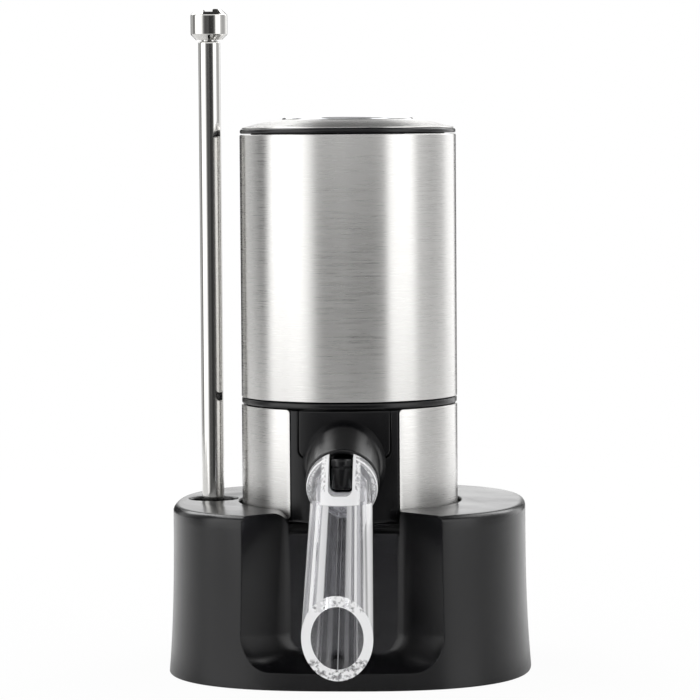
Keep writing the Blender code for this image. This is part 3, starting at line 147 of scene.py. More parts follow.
world = bpy.data.worlds.new("studio_room")
bpy.context.scene.world = world
world.use_nodes = True
room = world.node_tree
room.nodes.clear()
look_way = add_node(room, "ShaderNodeTexCoord")
way = add_node(room, "ShaderNodeSeparateXYZ", [("Vector", look_way.outputs["Generated"])])
front = add_node(room, "ShaderNodeMath", [(0, way.outputs["Y"]), (1, -1)], operation="MULTIPLY")
turn_angle = add_node(
    room, "ShaderNodeMath", [(0, way.outputs["X"]), (1, front.outputs[0])], operation="ARCTAN2"
)
turn_share = add_node(
    room, "ShaderNodeMapRange",
    [("Value", turn_angle.outputs[0]), ("From Min", -math.pi), ("From Max", math.pi)],
)
bands = []
for stops in (room_high_brightness, room_low_brightness):
    band = add_node(room, "ShaderNodeValToRGB", [("Fac", turn_share.outputs["Result"])])
    set_ramp(band, [((angle + 180) / 360, value / room_brightest) for angle, value in stops])
    bands.append(band.outputs["Color"])
height = add_node(room, "ShaderNodeMapRange", [("Value", way.outputs["Z"]), ("From Min", -1.0)])
leaning = add_node(
    room, "ShaderNodeMath", [(0, front.outputs[0]), (1, front_lean), (2, way.outputs["Z"])],
    operation="MULTIPLY_ADD",
)
lean_height = add_node(room, "ShaderNodeMapRange", [("Value", leaning.outputs[0]), ("From Min", -1.0)])
lowness = add_node(room, "ShaderNodeValToRGB", [("Fac", lean_height.outputs["Result"])])
set_ramp(lowness, [(0.0, 1.0), (low_ends, 1.0), (high_starts, 0.0), (1.0, 0.0)])
wall = add_node(
    room, "ShaderNodeMix", [(0, lowness.outputs["Color"]), (6, bands[0]), (7, bands[1])], data_type="RGBA"
)
overhead = add_node(room, "ShaderNodeValToRGB", [("Fac", height.outputs["Result"])])
set_ramp(overhead, [(0.0, 0.0), (wall_ends, 0.0), (ceiling_starts, 1.0), (1.0, 1.0)])
ceiling = [ceiling_brightness / room_brightest] * 3 + [1]
height_mix = add_node(
    room, "ShaderNodeMix", [(0, overhead.outputs["Color"]), (6, wall.outputs[2]), (7, ceiling)],
    data_type="RGBA",
)
room_light = add_node(
    room, "ShaderNodeBackground", [("Color", height_mix.outputs[2]), ("Strength", room_brightest)]
)
white_light = add_node(room, "ShaderNodeBackground", [("Color", (1, 1, 1, 1)), ("Strength", 1.0)])
ray = add_node(room, "ShaderNodeLightPath")
sees_white = add_node(
    room, "ShaderNodeMath",
    [(0, ray.outputs["Is Camera Ray"]), (1, ray.outputs["Is Transmission Ray"])], operation="MAXIMUM",
)
room_mix = add_node(
    room, "ShaderNodeMixShader",
    [("Fac", sees_white.outputs[0]), (1, room_light.outputs[0]), (2, white_light.outputs[0])],
)
add_node(room, "ShaderNodeOutputWorld", [("Surface", room_mix.outputs[0])])


lit_point = Vector((0, 0, 0.06))


def soft_light(name, place, width, height, watts):
    """A softbox that faces the object and shows in its reflections, but isn't seen itself."""
    data = bpy.data.lights.new(name, "AREA")
    data.shape = "RECTANGLE"
    data.size = width
    data.size_y = height
    data.energy = watts
    lamp = bpy.data.objects.new(name, data)
    bpy.context.scene.collection.objects.link(lamp)
    lamp.location = place
    back = (Vector(place) - lit_point).normalized()
    across = Vector((0, 0, 1)).cross(back).normalized()
    lamp.rotation_euler = Matrix((across, back.cross(across), back)).transposed().to_euler()
    lamp.visible_camera = False


soft_light("high_left_softbox", (-0.371, 0.15, 0.693), 0.3, 0.3, 1.3)
soft_light("high_right_softbox", (0.457, 0.185, 0.63), 0.3, 0.3, 0.8)
soft_light("back_left_softbox", (-0.464, 0.663, 0.65), 0.42, 0.5, 2.4)
soft_light("back_right_softbox", (0.464, 0.663, 0.65), 0.42, 0.5, 1.8)


def new_material(name):
    """A material with an empty node tree, and that tree."""
    material = bpy.data.materials.new(name)
    material.use_nodes = True
    material.node_tree.nodes.clear()
    return material, material.node_tree


table_half_width, table_front, table_back = 0.5, -0.2, 0.5
table_own_white = 0.95
table_mesh = bpy.data.meshes.new("table_top")
corners = [(-table_half_width, table_front, 0), (table_half_width, table_front, 0)]
corners += [(table_half_width, table_back, 0), (-table_half_width, table_back, 0)]
table_mesh.from_pydata(corners, [], [(0, 1, 2, 3)])
table_top = bpy.data.objects.new("table_top", table_mesh)
bpy.context.scene.collection.objects.link(table_top)
table_material, tree = new_material("white_table")
matt_white = add_node(tree, "ShaderNodeBsdfDiffuse", [("Color", colour("#F7F7F7"))])
own_white = add_node(tree, "ShaderNodeEmission", [("Color", (1, 1, 1, 1)), ("Strength", 1.0)])
ray = add_node(tree, "ShaderNodeLightPath")
own_share = add_node(
    tree, "ShaderNodeMath", [(0, ray.outputs["Is Camera Ray"]), (1, table_own_white)], operation="MULTIPLY"
)
table_mix = add_node(
    tree, "ShaderNodeMixShader",
    [("Fac", own_share.outputs[0]), (1, matt_white.outputs[0]), (2, own_white.outputs[0])],
)
add_node(tree, "ShaderNodeOutputMaterial", [("Surface", table_mix.outputs[0])])
table_mesh.materials.append(table_material)
bpy.context.scene.view_settings.view_transform = "Standard"


# Storage base, outer shell
# An injection-moulded ABS shell, satin black. Its sides flare towards the foot, and it holds the
# dispenser's seat, the stopper's well, the dip tube's hole and the channel in which the spout hangs.

sharp_from = math.radians(32)


def new_mesh(name, bm):
    """A mesh from bmesh data, its faces outwards and smooth, with its sharp edges kept."""
    bmesh.ops.recalc_face_normals(bm, faces=bm.faces)
    mesh = bpy.data.meshes.new(name)
    bm.to_mesh(mesh)
    bm.free()
    mesh.shade_smooth()
    mesh.set_sharp_from_angle(angle=sharp_from)
    return mesh


def new_piece(name, mesh):
    """An object with that mesh, in the scene."""
    piece = bpy.data.objects.new(name, mesh)
    bpy.context.scene.collection.objects.link(piece)
    return piece


def loft(name, rings):
    """A closed form through rings of points, all with the same count."""
    bm = bmesh.new()
    loops = [[bm.verts.new(point) for point in points] for points in rings]
    count = len(loops[0])
    for low, high in zip(loops, loops[1:]):
        for i in range(count):
            bm.faces.new((low[i], low[(i + 1) % count], high[(i + 1) % count], high[i]))
    bm.faces.new(loops[0])
    bm.faces.new(loops[-1])
    return new_piece(name, new_mesh(name, bm))


def round_corners(corners, closed=True, arc_steps=8):
    """The points of a line through (a, b, radius) corners, each radius drawn as an arc."""
    points = []
    for i, (a, b, radius) in enumerate(corners):
        here = Vector((a, b))
        if radius == 0 or (not closed and i in (0, len(corners) - 1)):
            points.append(here)
            continue
        before = (Vector(corners[i - 1][:2]) - here).normalized()
        after = (Vector(corners[(i + 1) % len(corners)][:2]) - here).normalized()
        half = before.angle(after) / 2
        centre = here + (before + after).normalized() * radius / math.sin(half)
        start = here + before * radius / math.tan(half) - centre
        end = here + after * radius / math.tan(half) - centre
        start_angle = math.atan2(start.y, start.x)
        sweep = (math.atan2(end.y, end.x) - start_angle + math.pi) % math.tau - math.pi
        for k in range(arc_steps + 1):
            angle = start_angle + sweep * k / arc_steps
            points.append(centre + Vector((math.cos(angle), math.sin(angle))) * radius)
    return points


def lathe(name, corners, steps=160, centre=(0, 0), closed=True, arc_steps=8):
    """A turned form about an upright axis from (radius, z, round) corners of its section."""
    points = round_corners(corners, closed, arc_steps)
    bm = bmesh.new()
    columns = []
    for k in range(steps):
        angle = math.tau * k / steps
        across, along = math.cos(angle), math.sin(angle)
        columns.append([
            bm.verts.new((centre[0] + p.x * across, centre[1] + p.x * along, p.y)) if p.x > 0 or k == 0
            else columns[0][i]
            for i, p in enumerate(points)
        ])
    last = len(points) if closed else len(points) - 1
    for k in range(steps):
        here, there = columns[k], columns[(k + 1) % steps]
        for i in range(last):
            j = (i + 1) % len(points)
            ring = [here[i], there[i], there[j], here[j]]
            face = [v for n, v in enumerate(ring) if v not in ring[:n]]
            if len(face) > 2:
                bm.faces.new(face)
    return new_piece(name, new_mesh(name, bm))


def combine(piece, operation, *tools):
    """The piece with the tools cut out of it, joined to it or kept of it; the tools are used up."""
    for tool in tools:
        step = piece.modifiers.new(operation.lower(), "BOOLEAN")
        step.operation = operation
        step.object = tool
        step.solver = "EXACT"
        bpy.context.view_layer.update()
        made = bpy.data.meshes.new_from_object(piece.evaluated_get(bpy.context.evaluated_depsgraph_get()))
        piece.modifiers.clear()
        piece.data = made
        bpy.data.objects.remove(tool, do_unlink=True)
    made.name = piece.name
    made.shade_smooth()
    made.set_sharp_from_angle(angle=sharp_from)


def dress(piece, material, body=None, stands_for=()):
    """Gives a finished piece its material, the body that it rides on and the node it stands for."""
    piece.data.materials.clear()
    piece.data.materials.append(material)
    if body:
        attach(piece, body)
    if stands_for:
        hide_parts(*stands_for)


def moulded_plastic(name, hex_value, roughness, grain_mm, grain_depth, edge_mm):
    """Moulded ABS or PC: a coloured plastic whose mould was spark-eroded to a fine even grain."""
    material, tree = new_material(name)
    place = add_node(tree, "ShaderNodeTexCoord")
    cloud = add_node(
        tree, "ShaderNodeTexNoise", [("Vector", place.outputs["Object"]), ("Scale", 70.0), ("Detail", 3.0)]
    )
    grain = add_node(
        tree, "ShaderNodeTexNoise",
        [("Vector", place.outputs["Object"]), ("Scale", 1000 / grain_mm), ("Detail", 2.0),
         ("Roughness", 0.6)],
    )
    rough = add_node(
        tree, "ShaderNodeMapRange",
        [("Value", cloud.outputs["Fac"]), ("From Min", 0.3), ("From Max", 0.7),
         ("To Min", roughness - 0.03), ("To Max", roughness + 0.03)],
    )
    tone = add_node(
        tree, "ShaderNodeMix",
        [(0, cloud.outputs["Fac"]), (6, colour(hex_value)), (7, colour(hex_value, 1.25))], data_type="RGBA",
    )
    edge = add_node(tree, "ShaderNodeBevel", [("Radius", edge_mm / 1000)], samples=4)
    bump = add_node(
        tree, "ShaderNodeBump",
        [("Strength", 0.35), ("Distance", grain_depth / 1000), ("Height", grain.outputs["Fac"]),
         ("Normal", edge.outputs["Normal"])],
    )
    shader = add_node(
        tree, "ShaderNodeBsdfPrincipled",
        [("Base Color", tone.outputs[2]), ("Roughness", rough.outputs["Result"]), ("IOR", 1.45),
         ("Normal", bump.outputs["Normal"])],
    )
    add_node(tree, "ShaderNodeOutputMaterial", [("Surface", shader.outputs[0])])
    return material


# The grain spreads each light to a soft sheen on deep black. The real grain is about 0.05 mm wide,
# and is drawn at 0.35 mm so that it shows.
satin_black_abs = moulded_plastic("satin_black_abs", "#0B0B0D", 0.24, 0.35, 0.006, 0.45)

base_height = 0.041
base_half_width = 0.0431
base_half_depth = 0.0416
base_flare = 0.0013
base_squareness = 2.6
base_rim = 0.0016
shell_foot = 0.0002
seat_level = 0.0375
seat_hole_radius = 0.0273
well_radius = 0.016
floor_level = 0.0043
tube_place = (-0.0341, 0.003)
tube_hole_radius = 0.0059


def base_outline(z, inset):
    """The base's outline at a height: between an ellipse and a rectangle, wider towards the foot."""
    share = 1 - min(max(z / base_height, 0), 1)
    grow = base_flare * share**2.8 - inset
    points = []
    for k in range(240):
        angle = math.tau * k / 240
        across, along = math.cos(angle), math.sin(angle)
        x = math.copysign(abs(across) ** (2 / base_squareness), across) * (base_half_width + grow)
        y = math.copysign(abs(along) ** (2 / base_squareness), along) * (base_half_depth + grow)
        points.append((x, y, z))
    return points


channel_back = 0.028
channel_front = 0.038
channel_steps = (0.028, 0.0283, 0.029, 0.031, 0.033, 0.035, 0.037, 0.038, 0.040, 0.042, 0.0445)
back_half_width = 0.0132
front_half_width = 0.02375
back_corner = 0.0055
front_corner = 0.0092
back_foot_rise = 0.0022
back_round, back_round_reach = 0.0008, 0.001


def channel_rings(top):
    """The spout's channel from its back wall forwards: wider and with rounder foot corners in front."""
    slope = (front_half_width - back_half_width) / (channel_front - channel_back)
    rings = []
    for y in channel_steps:
        blend = back_round * max(0, 1 - (y - channel_back) / back_round_reach) ** 2
        half = back_half_width + (y - channel_back) * slope - blend
        share = (y - channel_back) / (channel_front - channel_back)
        corner = back_corner + (front_corner - back_corner) * share
        foot = floor_level + back_foot_rise * max(0, 1 - share) + blend
        corners = [(-half, top, 0), (-half, foot, corner), (half, foot, corner), (half, top, 0)]
        rings.append([(p.x, -y, p.y) for p in round_corners(corners, True, 14)])
    return rings


rings = [base_outline(shell_foot + (base_height - base_rim - shell_foot) * k / 20, 0) for k in range(21)]
for k in range(1, 9):
    angle = math.pi / 2 * k / 8
    edge_level = base_height - base_rim * (1 - math.sin(angle))
    rings.append(base_outline(edge_level, base_rim * (1 - math.cos(angle))))
base = loft("base_moulding", rings)
above = base_height + 0.002


def lipped_cut(name, radius, lip, floor, **settings):
    """The form of a round hole with a softened lip, from above the base down to the hole's floor."""
    corners = [(0, above, 0), (radius + lip, above, 0), (radius + lip, base_height, 0)]
    for k in range(1, 5):
        angle = math.pi * k / 8
        corners.append((radius + lip * (1 - math.sin(angle)), base_height - lip * (1 - math.cos(angle)), 0))
    corners += [(radius, floor, 0), (0, floor, 0)]
    return lathe(name, corners, closed=False, **settings)


seat_cut = lipped_cut("seat_cut", seat_hole_radius, 0.0005, seat_level, steps=200)
well_cut = lathe(
    "well_cut",
    [(0, above, 0), (well_radius, above, 0), (well_radius, floor_level, 0.001), (0, floor_level, 0)],
    closed=False, steps=96,
)
hole_cut = lipped_cut("tube_hole_cut", tube_hole_radius, 0.0006, floor_level, centre=tube_place, steps=72)
wall_top = 0.036
wall_edge = (
    (0.0335, 0.0006), (0.0281, 0.0006), (0.02795, 0.0004), (0.02765, 0.0001), (0.0274, 0), (0.0219, 0),
)
right_shoulder_round, left_shoulder_round = 0.001, 0.004
right_reach, left_reach = 0.0155, -0.0212
step_rings = []
for y, drop in wall_edge:
    foot = wall_top - drop
    shoulder = [
        (back_half_width, foot, 0), (back_half_width, base_height, right_shoulder_round),
        (right_reach, base_height, 0), (right_reach, above, 0), (left_reach, above, 0),
        (left_reach, base_height, 0), (-back_half_width, base_height, left_shoulder_round),
        (-back_half_width, foot, 0),
    ]
    step_rings.append([(p.x, -y, p.y) for p in round_corners(shoulder, True, 10)])
combine(base, "DIFFERENCE", seat_cut, well_cut, hole_cut)
combine(base, "DIFFERENCE", loft("channel_cut", channel_rings(above)), loft("step_cut", step_rings))
shell_wall = 0.0024
plate_room = 0.0027
plate_cut = loft("plate_cut", [base_outline(z, shell_wall) for z in (-0.001, plate_room)])
combine(base, "DIFFERENCE", plate_cut)
dress(base, satin_black_abs, "base", ["base_shell"])


# Base plate, mat and screws
# The shell is closed below by a moulded plate, held by four zinc-plated screws, and stands on a
# rubber mat. They show only from below, so they keep the forms of the CAD model.

def paint(material, *names):
    """Gives nodes that keep their own form a finished material in place of their plain one."""
    for name in names:
        nodes[name].data.materials[0] = material


def metal(name, hex_value, roughness, grain_mm, grain_depth, stretch=1.0, anisotropy=0.0):
    """Metal with a fine grain that runs level round it, stretch times as long as it is high."""
    material, tree = new_material(name)
    place = add_node(tree, "ShaderNodeTexCoord")
    along = 1000 / (grain_mm * stretch)
    spread = add_node(
        tree, "ShaderNodeMapping",
        [("Vector", place.outputs["Object"]), ("Scale", (along, along, 1000 / grain_mm))],
    )
    grain = add_node(
        tree, "ShaderNodeTexNoise",
        [("Vector", spread.outputs["Vector"]), ("Scale", 1.0), ("Detail", 3.0), ("Roughness", 0.65)],
    )
    rough = add_node(
        tree, "ShaderNodeMapRange",
        [("Value", grain.outputs["Fac"]), ("From Min", 0.3), ("From Max", 0.7),
         ("To Min", roughness * 0.8), ("To Max", roughness * 1.2)],
    )
    tone = add_node(
        tree, "ShaderNodeMix",
        [(0, grain.outputs["Fac"]), (6, colour(hex_value, 0.9)), (7, colour(hex_value))],
        data_type="RGBA",
    )
    bump = add_node(
        tree, "ShaderNodeBump",
        [("Strength", 0.4), ("Distance", grain_depth / 1000), ("Height", grain.outputs["Fac"])],
    )
    shader = add_node(
        tree, "ShaderNodeBsdfPrincipled",
        [("Base Color", tone.outputs[2]), ("Metallic", 1.0), ("Roughness", rough.outputs["Result"]),
         ("Normal", bump.outputs["Normal"])],
    )
    if anisotropy:
        turn_way = add_node(tree, "ShaderNodeTangent", direction_type="RADIAL", axis="Z")
        tree.links.new(turn_way.outputs["Tangent"], shader.inputs["Tangent"])
        shader.inputs["Anisotropic"].default_value = anisotropy
        shader.inputs["Anisotropic Rotation"].default_value = 0.25
    add_node(tree, "ShaderNodeOutputMaterial", [("Surface", shader.outputs[0])])
    return material


# Unseen mouldings are matt and a little greyer, the mat is dull and grippy, and the zinc is bluish.
inner_black_abs = moulded_plastic("inner_black_abs", "#1B1B1D", 0.5, 0.3, 0.03, 0.2)
mat_rubber = moulded_plastic("mat_rubber", "#202022", 0.85, 0.8, 0.12, 0.2)
zinc_plated_steel = metal("zinc_plated_steel", "#B9BBC0", 0.32, 0.3, 0.01)
paint(inner_black_abs, "base_plate")
paint(mat_rubber, "non_slip_mat")
paint(zinc_plated_steel, "base_screw_1", "base_screw_2", "base_screw_3", "base_screw_4")


# Dip tube
# A telescopic stainless tube, drawn and polished, that stands head up in the base. Its top edge is
# rolled in round the inner tube, and a silicone connector on its foot fits the stopper's socket.

# Polishing leaves clear upright reflections with only a trace of grain. Silicone is soft and dull.
polished_stainless_steel = metal("polished_stainless_steel", "#DAD9D6", 0.1, 0.5, 0.0003, 1.0)
grey_silicone = moulded_plastic("grey_silicone", "#5C5D60", 0.55, 0.4, 0.01, 0.2)
translucent_silicone = moulded_plastic("translucent_silicone", "#C9C9C4", 0.4, 0.4, 0.01, 0.2)

tube_radius = 0.0027
tube_bore = 0.00235
tube_foot = 0.0064
tube_top = 0.1538
inner_tube_radius = 0.00185
clearance = 0.0003
tube_mouth = inner_tube_radius + clearance
outer_tube = lathe(
    "outer_tube_drawn",
    [
        (tube_radius, tube_top, 0.0005), (tube_radius, tube_foot, 0.0001), (tube_bore, tube_foot, 0.0001),
        (tube_bore, tube_top - 0.0005, 0), (tube_mouth, tube_top - 0.0005, 0), (tube_mouth, tube_top, 0.0001),
    ],
    steps=96, centre=tube_place,
)
dress(outer_tube, polished_stainless_steel, "dip_tube", ["outer_tube"])
paint(grey_silicone, "tube_connector", "slide_bush")
paint(polished_stainless_steel, "inner_tube")


# Inlet head
# The turned steel knob on the inner tube, through which the liquid enters: chamfered at both ends,
# with two crossed slots over its bore, so that it can stand on a bottle's floor and still draw.

head_radius = 0.00453
head_foot = tube_top + clearance
head_top = head_foot + 0.0076
head_chamfer = 0.0014
head_bore = 0.0016
socket_depth = 0.0043
head = lathe(
    "inlet_head_turned",
    [
        (head_radius - head_chamfer, head_top, 0.0004), (head_radius, head_top - head_chamfer, 0.0006),
        (head_radius, head_foot + head_chamfer, 0.0006), (head_radius - head_chamfer, head_foot, 0.0004),
        (tube_mouth, head_foot, 0), (tube_mouth, head_foot + socket_depth, 0),
        (head_bore, head_foot + socket_depth, 0), (head_bore, head_top, 0.0002),
    ],
    steps=96, centre=tube_place,
)
slot_half = 0.0012
slot_reach = 0.006
slot_depth = 0.0007
slot_lip = ((-slot_depth, 0), (-0.00025, 0), (-0.0001, 0.0001), (0, 0.0003), (0.001, 0.0003))
square = ((-1, -1), (1, -1), (1, 1), (-1, 1))
for name, wide, deep in (("slot_across", slot_reach, slot_half), ("slot_along", slot_half, slot_reach)):
    slot_rings = []
    for rise, grow in slot_lip:
        slot_rings.append([
            (tube_place[0] + x * (wide + grow), tube_place[1] + y * (deep + grow), head_top + rise)
            for x, y in square
        ])
    combine(head, "DIFFERENCE", loft(name, slot_rings))
dress(head, polished_stainless_steel, "sliding_tube", ["inlet_head"])


# Lower steel sleeve
# Stainless sheet, 0.6 mm thick, rolled to a C and brushed round. It clips over the lower housing and
# leaves its front open for the black panel. Its cut edges and corners are deburred.

def extrude(name, corners, front, back, arc_steps=8):
    """A form with an outline of (x, z, round) corners that runs from front to back along Y."""
    outline = round_corners(corners, True, arc_steps)
    return loft(name, [[(p.x, y, p.y) for p in outline] for y in (front, back)])


# Level brush lines stretch each light into an upright band. They are drawn 0.16 mm high and 70 times
# as long, coarser than the real ones, so that they show.
brushed_stainless_steel = metal("brushed_stainless_steel", "#DBDAD8", 0.3, 0.16, 0.002, 70.0, 0.9)

body_radius = 0.0265
sleeve_inner = 0.0259
body_foot = 0.0378
lower_sleeve_foot = 0.0386
lower_top = 0.0649
beyond = 0.002
edge_round = 0.00012
lower_sleeve = lathe(
    "lower_sleeve_rolled",
    [
        (body_radius, lower_top, edge_round), (body_radius, lower_sleeve_foot, edge_round),
        (sleeve_inner, lower_sleeve_foot, edge_round), (sleeve_inner, lower_top, edge_round),
    ],
    steps=256, arc_steps=4,
)
opening_half = 0.0132
corner_round = 0.0009
opening = [
    (-opening_half - beyond, lower_top + beyond, 0), (-opening_half - beyond, lower_top, 0),
    (-opening_half, lower_top, corner_round), (-opening_half, lower_sleeve_foot, corner_round),
    (-opening_half - beyond, lower_sleeve_foot, 0), (-opening_half - beyond, lower_sleeve_foot - beyond, 0),
]
opening += [(-x, z, r) for x, z, r in reversed(opening)]
combine(lower_sleeve, "DIFFERENCE", extrude("sleeve_opening", opening, -body_radius - beyond, 0))
dress(lower_sleeve, brushed_stainless_steel, "dispenser", ["lower_sleeve"])


# Lower housing
# The black ABS tub behind the steel. Its floor holds the stopper, and its front is the panel between
# the sleeve's edges, flatter than the steel, with a recess for the hood's own moulding.

housing_radius = sleeve_inner - clearance
housing_inner = housing_radius - 0.0016
rim_foot = body_foot + 0.0005
stopper_bore = 0.0083
floor_top = 0.04
pump_ledge = 0.0433
ledge_inner = housing_inner - 0.0022
panel_face = 0.04
panel_centre = (0, 0.0148)
panel_wall = 0.0025
panel_back = -0.02
panel_half = 0.0129
panel_foot = body_foot + 0.00025
panel_top = lower_top - 0.00015
seam = 0.0003
housing = lathe(
    "lower_housing_moulded",
    [
        (housing_radius, lower_top, 0.0002), (housing_radius, rim_foot, 0), (body_radius, rim_foot, 0.0001),
        (body_radius, body_foot, 0.0002), (stopper_bore, body_foot, 0.0002),
        (stopper_bore, floor_top, 0.0002), (ledge_inner, floor_top, 0), (ledge_inner, pump_ledge, 0),
        (housing_inner, pump_ledge, 0), (housing_inner, lower_top, 0.0002),
    ],
    steps=256, arc_steps=4,
)
panel = lathe(
    "panel_ring",
    [
        (panel_face, panel_top, 0.0002), (panel_face, panel_foot, 0.0002),
        (panel_face - panel_wall, panel_foot, 0), (panel_face - panel_wall, panel_top, 0),
    ],
    steps=384, centre=panel_centre, arc_steps=4,
)
window = [
    (-panel_half, panel_foot - beyond, 0), (panel_half, panel_foot - beyond, 0),
    (panel_half, panel_top + beyond, 0), (-panel_half, panel_top + beyond, 0),
]
combine(panel, "INTERSECT", extrude("panel_window", window, -body_radius - beyond, panel_back))
inset_half = 0.0109
inset_foot = 0.0535
inset_round = 0.002
lobe_radius = 0.0092
lobe_level = 0.0509
inset_back = -0.0215
before_body = -body_radius - beyond


def inset_outline(grow):
    """The recess for the hood: straight sides with rounded foot corners, then a round lobe below."""
    half = inset_half + grow
    lobe = lobe_radius + grow
    meet = math.asin(min((inset_foot - grow - lobe_level) / lobe, 1))
    corners = [(half, lower_top + beyond, 0), (-half, lower_top + beyond, 0)]
    corners.append((-half, inset_foot - grow, inset_round))
    for k in range(33):
        angle = math.pi - meet + (math.pi + 2 * meet) * k / 32
        corners.append((lobe * math.cos(angle), lobe_level + lobe * math.sin(angle), 0))
    corners.append((half, inset_foot - grow, inset_round))
    return corners


combine(housing, "UNION", panel)
combine(housing, "DIFFERENCE", extrude("inset_recess", inset_outline(seam), before_body, inset_back, 6))
dress(housing, satin_black_abs, "dispenser", ["lower_housing"])


# Hood
# One black moulding that fills the recess: a face flush with the panel, and an oval hood with a soft
# shoulder that leans over the nozzle. The clear spout's flange sits against its tilted rim.

def aim(piece, origin, way):
    """Turns a form drawn up the Z axis to run along a way from a point."""
    turned = Vector(way).to_track_quat("Z", "Y").to_matrix().to_4x4()
    piece.data.transform(Matrix.Translation(Vector(origin)) @ turned)
    return piece


def rod(name, radius, start, end, steps, centre=(0, 0)):
    """A plain round form between two levels."""
    corners = [(0, start, 0), (radius, start, 0), (radius, end, 0), (0, end, 0)]
    return lathe(name, corners, steps=steps, centre=centre, closed=False)


hood_tilt = math.radians(20)
hood_way = Vector((0, -math.cos(hood_tilt), -math.sin(hood_tilt)))
hood_rim = Vector((0, -0.033, 0.0483))
hood_radius = 0.00875
hood_bore = hood_radius - 0.00145
plate_back = 0.034
over_body, under_body = 0.07, 0.03
hood = lathe(
    "spout_hood_moulded",
    [
        (panel_face, panel_top, 0.0002), (panel_face, body_foot, 0), (plate_back, body_foot, 0),
        (plate_back, panel_top, 0),
    ],
    steps=384, centre=panel_centre, arc_steps=4,
)
combine(hood, "DIFFERENCE", rod("hollow", housing_inner, over_body, under_body, 256))
combine(hood, "INTERSECT", extrude("inset_keep", inset_outline(0), before_body, inset_back, 6))
raised = Vector((0, hood_way.z, -hood_way.y))
root_half_width, root_half_height, root_level = 0.00995, 0.0106, 0.0521
root_y, band_y, shoulder_y = -0.0232, -0.0256, -0.0284
band_slope = 0.45
shoulder_round = 0.0006
rim_round = 0.0005
columns = []
drop = band_slope * (band_y - shoulder_y)
for k in range(160):
    angle = math.tau * k / 160
    x, z = root_half_width * math.cos(angle), root_level + root_half_height * math.sin(angle)
    spoke = Vector((math.cos(angle), 0, 0)) + raised * math.sin(angle)
    corner = Vector((x - drop * math.cos(angle), shoulder_y, z - drop * math.sin(angle)))
    band_foot = Vector((x, band_y, z))
    start = corner + (band_foot - corner).normalized() * shoulder_round
    rim_edge = hood_rim - hood_way * rim_round + spoke * hood_radius
    bend = (rim_edge - corner).normalized() * shoulder_round
    column = [Vector((x, root_y, z)), band_foot]
    column += interpolate_bezier(start, start.lerp(corner, 2 / 3), corner + bend / 3, corner + bend, 13)
    for i in range(7):
        turned = math.pi / 2 * i / 6
        back = hood_way * rim_round * (1 - math.sin(turned))
        column.append(hood_rim - back + spoke * (hood_radius - rim_round * (1 - math.cos(turned))))
    columns.append(column)
visor = loft("visor", list(zip(*columns)))
behind_panel = rod("behind_panel", panel_face + seam, over_body, under_body, 384, panel_centre)
combine(visor, "DIFFERENCE", behind_panel)
neck_end, neck_root = -0.0019, -0.013
neck_inner = 0.0243
neck = aim(rod("neck", hood_radius - 0.0007, neck_end, neck_root, 96), hood_rim, hood_way)
combine(neck, "DIFFERENCE", rod("inside", neck_inner, over_body, under_body, 256))
combine(hood, "UNION", neck, visor)
cup_depth = 0.0038
cup = lathe(
    "cup",
    [
        (0, 0.001, 0), (hood_bore + 0.0014, 0.001, 0), (hood_bore, -0.0004, 0.0005),
        (hood_bore, -cup_depth, 0.0006), (0, -cup_depth, 0),
    ],
    steps=160, closed=False,
)
aim(cup, hood_rim, hood_way)
feed_level = 0.0513
feed_hole = aim(rod("feed_hole", 0.0025, -0.033, 0, 48), (0, 0, feed_level), (0, 1, 0))
combine(hood, "DIFFERENCE", cup, feed_hole)
dress(hood, satin_black_abs, "dispenser", ["spout_hood"])


# Outlet nozzle
# A small black elbow: a feed pipe comes forwards through the hood and ends in a short upright
# nozzle with a fine groove, over the notch of the spout.

nozzle_y = -0.0365
nozzle_radius = 0.0024
nozzle_top = 0.0545
nozzle_foot = 0.0473
groove_level = 0.0525
groove_half, groove_depth = 0.00025, 0.0003
nozzle = lathe(
    "outlet_nozzle_moulded",
    [
        (0, nozzle_top, 0), (nozzle_radius, nozzle_top, 0.0005),
        (nozzle_radius, groove_level + groove_half, 0), (nozzle_radius - groove_depth, groove_level, 0),
        (nozzle_radius, groove_level - groove_half, 0), (nozzle_radius, nozzle_foot, 0.0005),
        (0, nozzle_foot, 0),
    ],
    steps=80, centre=(0, nozzle_y), closed=False,
)
feed_radius, feed_length = 0.0022, 0.0225
feed = lathe(
    "feed", [(0, 0, 0), (feed_radius, 0, 0), (feed_radius, feed_length, 0.0003), (0, feed_length, 0)],
    steps=64, closed=False,
)
feed_start = (0, nozzle_y, feed_level)
combine(nozzle, "UNION", aim(feed, feed_start, (0, 1, 0)))
feed_bore = aim(rod("feed_bore", 0.0014, -0.0004, feed_length + 0.0015, 48), feed_start, (0, 1, 0))
drop_bore = rod("drop_bore", 0.0016, 0.0518, 0.046, 48, (0, nozzle_y))
combine(nozzle, "DIFFERENCE", feed_bore, drop_bore)
dress(nozzle, satin_black_abs, "dispenser", ["outlet_nozzle"])


# Clear spout
# Injection-moulded clear acrylic, 2.1 mm thick. A round flange sits on the hood's rim, and from it a
# widening tube runs down and forwards to a slanted mouth. A notch in its top lets the nozzle in.

